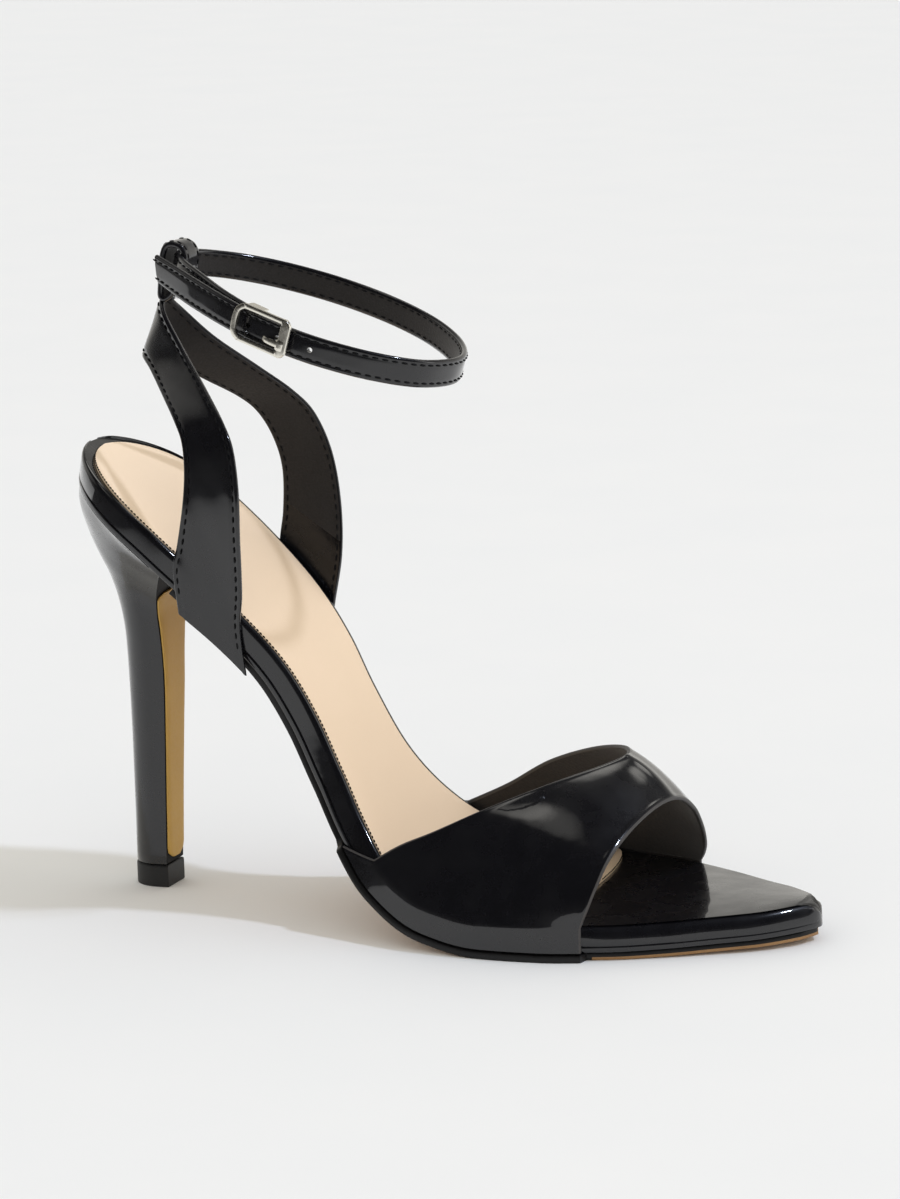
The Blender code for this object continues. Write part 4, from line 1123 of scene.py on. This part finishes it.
studio = {
    "floorHalf": 30.0, "photoSize": (900, 1199), "sensor": 36.0,
    "cameraPlace": (0.5241, -0.9954, 0.3223), "azimuth": math.radians(23.3), "elevation": math.radians(8.95),
    "roll": math.radians(-1.35), "focalPixels": 3466.0, "photoMiddle": (450.0, 599.5),
    "frameMiddle": (436.0, 806.0), "frameWidth": 730.0,
    "roomDiffuse": 0.80, "roomFront": 0.06, "roomDark": 0.02, "roomBack": 0.75,
    "windows": [  # direction, inner and outer angle in degrees, strength
        ((-0.225, -0.085, 0.97), 0.0, 8.0, 1.4), ((-0.13, -0.15, 0.98), 0.0, 10.0, 0.7),
        ((0.25, 0.605, 0.756), 1.0, 9.0, 2.4), ((-0.15, 0.50, 0.85), 4.0, 14.0, 2.0),
        ((-0.85, 0.0, 0.53), 6.0, 24.0, 0.45),
    ],
    "sunFrom": (0.66, 0.08, 1.0), "sunStrength": 0.98, "sunSpread": math.radians(3.6),
    "panelPlace": (1.30, 0.30, 0.55), "panelTarget": (0.10, 0, 0.04), "panelSize": (0.25, 0.9),
    "panelPower": 1.2,
}


def paleFloor():
    half = studio["floorHalf"]
    floor = finishMesh("floor", [(-half, -half, 0), (half, -half, 0), (half, half, 0), (-half, half, 0)],
                       [(0, 1, 2, 3)], [])
    material, tree, shader, place = newMaterial("paleStudioFloor")
    mottle = addNode(tree, "ShaderNodeTexNoise", {"Vector": place, "Scale": 1 / (60 * mm), "Detail": 4.0})
    tint = addNode(tree, "ShaderNodeMix",
                   {"Factor": mottle, "A": linearColour("#EFF0F0"), "B": linearColour("#F3F3F2")}, data_type="RGBA")
    # mirror-like surfaces see the lit floor fade out far in front of the shoe
    axes = addNode(tree, "ShaderNodeSeparateXYZ", {"Vector": place})
    far = addNode(tree, "ShaderNodeMapRange", {"Value": axes.outputs["Y"], "From Min": -0.30, "From Max": -1.10},
                  interpolation_type="SMOOTHSTEP")
    path = addNode(tree, "ShaderNodeLightPath")
    faded = addNode(tree, "ShaderNodeMath", {0: far, 1: path.outputs["Is Glossy Ray"]}, operation="MULTIPLY")
    paint = addNode(tree, "ShaderNodeMix", {"Factor": faded, "A": tint, "B": linearColour("#383838")},
                    data_type="RGBA")
    setInputs(shader, {"Base Color": paint, "Roughness": 0.85, "Specular IOR Level": 0.1})
    floor.data.materials.append(material)


def studioWorld():
    # evenly bright for diffuse light; mirror-like surfaces see a dim room that is paler behind the
    # shoe, with a few soft bright windows
    world = bpy.data.worlds.new("studio")
    bpy.context.scene.world = world
    world.use_nodes = True
    tree = world.node_tree
    tree.nodes.clear()
    place = addNode(tree, "ShaderNodeTexCoord").outputs["Generated"]
    axes = addNode(tree, "ShaderNodeSeparateXYZ", {"Vector": place}).outputs
    front, back, behind = [
        addNode(tree, "ShaderNodeMapRange", {"Value": value, "From Min": low, "From Max": high, "To Min": start,
                                             "To Max": end}, interpolation_type="SMOOTHSTEP")
        for value, low, high, start, end in (
            (axes["Z"], 0.02, 0.34, studio["roomFront"], studio["roomDark"]),
            (axes["Z"], 0.10, 0.80, studio["roomBack"], 0.10), (axes["Y"], -0.15, 0.45, 0.0, 1.0))]
    seen = addNode(tree, "ShaderNodeMix", {"Factor": behind, "A": front, "B": back}, data_type="FLOAT")
    for direction, inner, outer, strength in studio["windows"]:
        facing = addNode(tree, "ShaderNodeVectorMath", {0: place, 1: Vector(direction).normalized()},
                         operation="DOT_PRODUCT").outputs["Value"]
        glow = addNode(tree, "ShaderNodeMapRange",
                       {"Value": facing, "From Min": math.cos(math.radians(outer)),
                        "From Max": math.cos(math.radians(inner)), "To Max": strength},
                       interpolation_type="SMOOTHSTEP")
        seen = addNode(tree, "ShaderNodeMath", {0: seen, 1: glow}, operation="ADD")
    path = addNode(tree, "ShaderNodeLightPath")
    amount = addNode(tree, "ShaderNodeMix", {"Factor": path.outputs["Is Glossy Ray"], "A": studio["roomDiffuse"],
                                             "B": seen}, data_type="FLOAT")
    light = addNode(tree, "ShaderNodeBackground", {"Color": linearColour("#FFFCF5"), "Strength": amount})
    addNode(tree, "ShaderNodeOutputWorld", {"Surface": light})


def addLamp(name, kind, colour, power, ahead):
    lamp = bpy.data.lights.new(name, kind)
    lamp.energy, lamp.color = power, linearColour(colour)[:3]
    holder = addObject(name, lamp)
    holder.rotation_mode = "QUATERNION"
    holder.rotation_quaternion = ahead.to_track_quat("-Z", "Y")
    return lamp, holder


def studioLamps():
    # a soft sun, high on the right, which throws the shadows to the left, and a panel on the right
    sun = addLamp("keyLight", "SUN", "#DFE9FF", studio["sunStrength"], -Vector(studio["sunFrom"]))[0]
    sun.angle = studio["sunSpread"]
    place = Vector(studio["panelPlace"])
    lamp, panel = addLamp("sidePanel", "AREA", "#FFFFFF", studio["panelPower"], Vector(studio["panelTarget"]) - place)
    lamp.shape = "RECTANGLE"
    lamp.size, lamp.size_y = studio["panelSize"]
    panel.location = place


def photoCamera():
    # the photograph's own viewpoint, turned a little so that the one shoe fills the frame
    a, e, roll = studio["azimuth"], studio["elevation"], studio["roll"]
    right = Vector((math.cos(a), math.sin(a), 0))
    up = Vector((-math.sin(a) * math.sin(e), math.cos(a) * math.sin(e), math.cos(e)))
    ahead = Vector((-math.sin(a) * math.cos(e), math.cos(a) * math.cos(e), -math.sin(e)))
    rolledRight = right * math.cos(roll) + up * math.sin(roll)
    rolledUp = up * math.cos(roll) - right * math.sin(roll)
    dx = (studio["frameMiddle"][0] - studio["photoMiddle"][0]) / studio["focalPixels"]
    dy = (studio["photoMiddle"][1] - studio["frameMiddle"][1]) / studio["focalPixels"]
    aim = (ahead + rolledRight * dx + rolledUp * dy).normalized()
    side = aim.cross(rolledUp).normalized()
    top = side.cross(aim).normalized()
    lens = bpy.data.cameras.new("photoCamera")
    lens.sensor_fit, lens.sensor_width = "AUTO", studio["sensor"]
    tall = studio["frameWidth"] * studio["photoSize"][1] / studio["photoSize"][0]
    lens.lens = studio["focalPixels"] * studio["sensor"] / tall
    lens.clip_start, lens.clip_end = 0.01, 100.0
    camera = addObject("photoCamera", lens)
    turn = np.array([[side.x, top.x, -aim.x], [side.y, top.y, -aim.y], [side.z, top.z, -aim.z]])
    camera.matrix_world = Matrix.Translation(Vector(studio["cameraPlace"])) @ Matrix(turn.tolist()).to_4x4()
    bpy.context.scene.camera = camera


paleFloor()
studioWorld()
studioLamps()
photoCamera()
bpy.context.scene.view_settings.view_transform = "Standard"
print("studio ready")
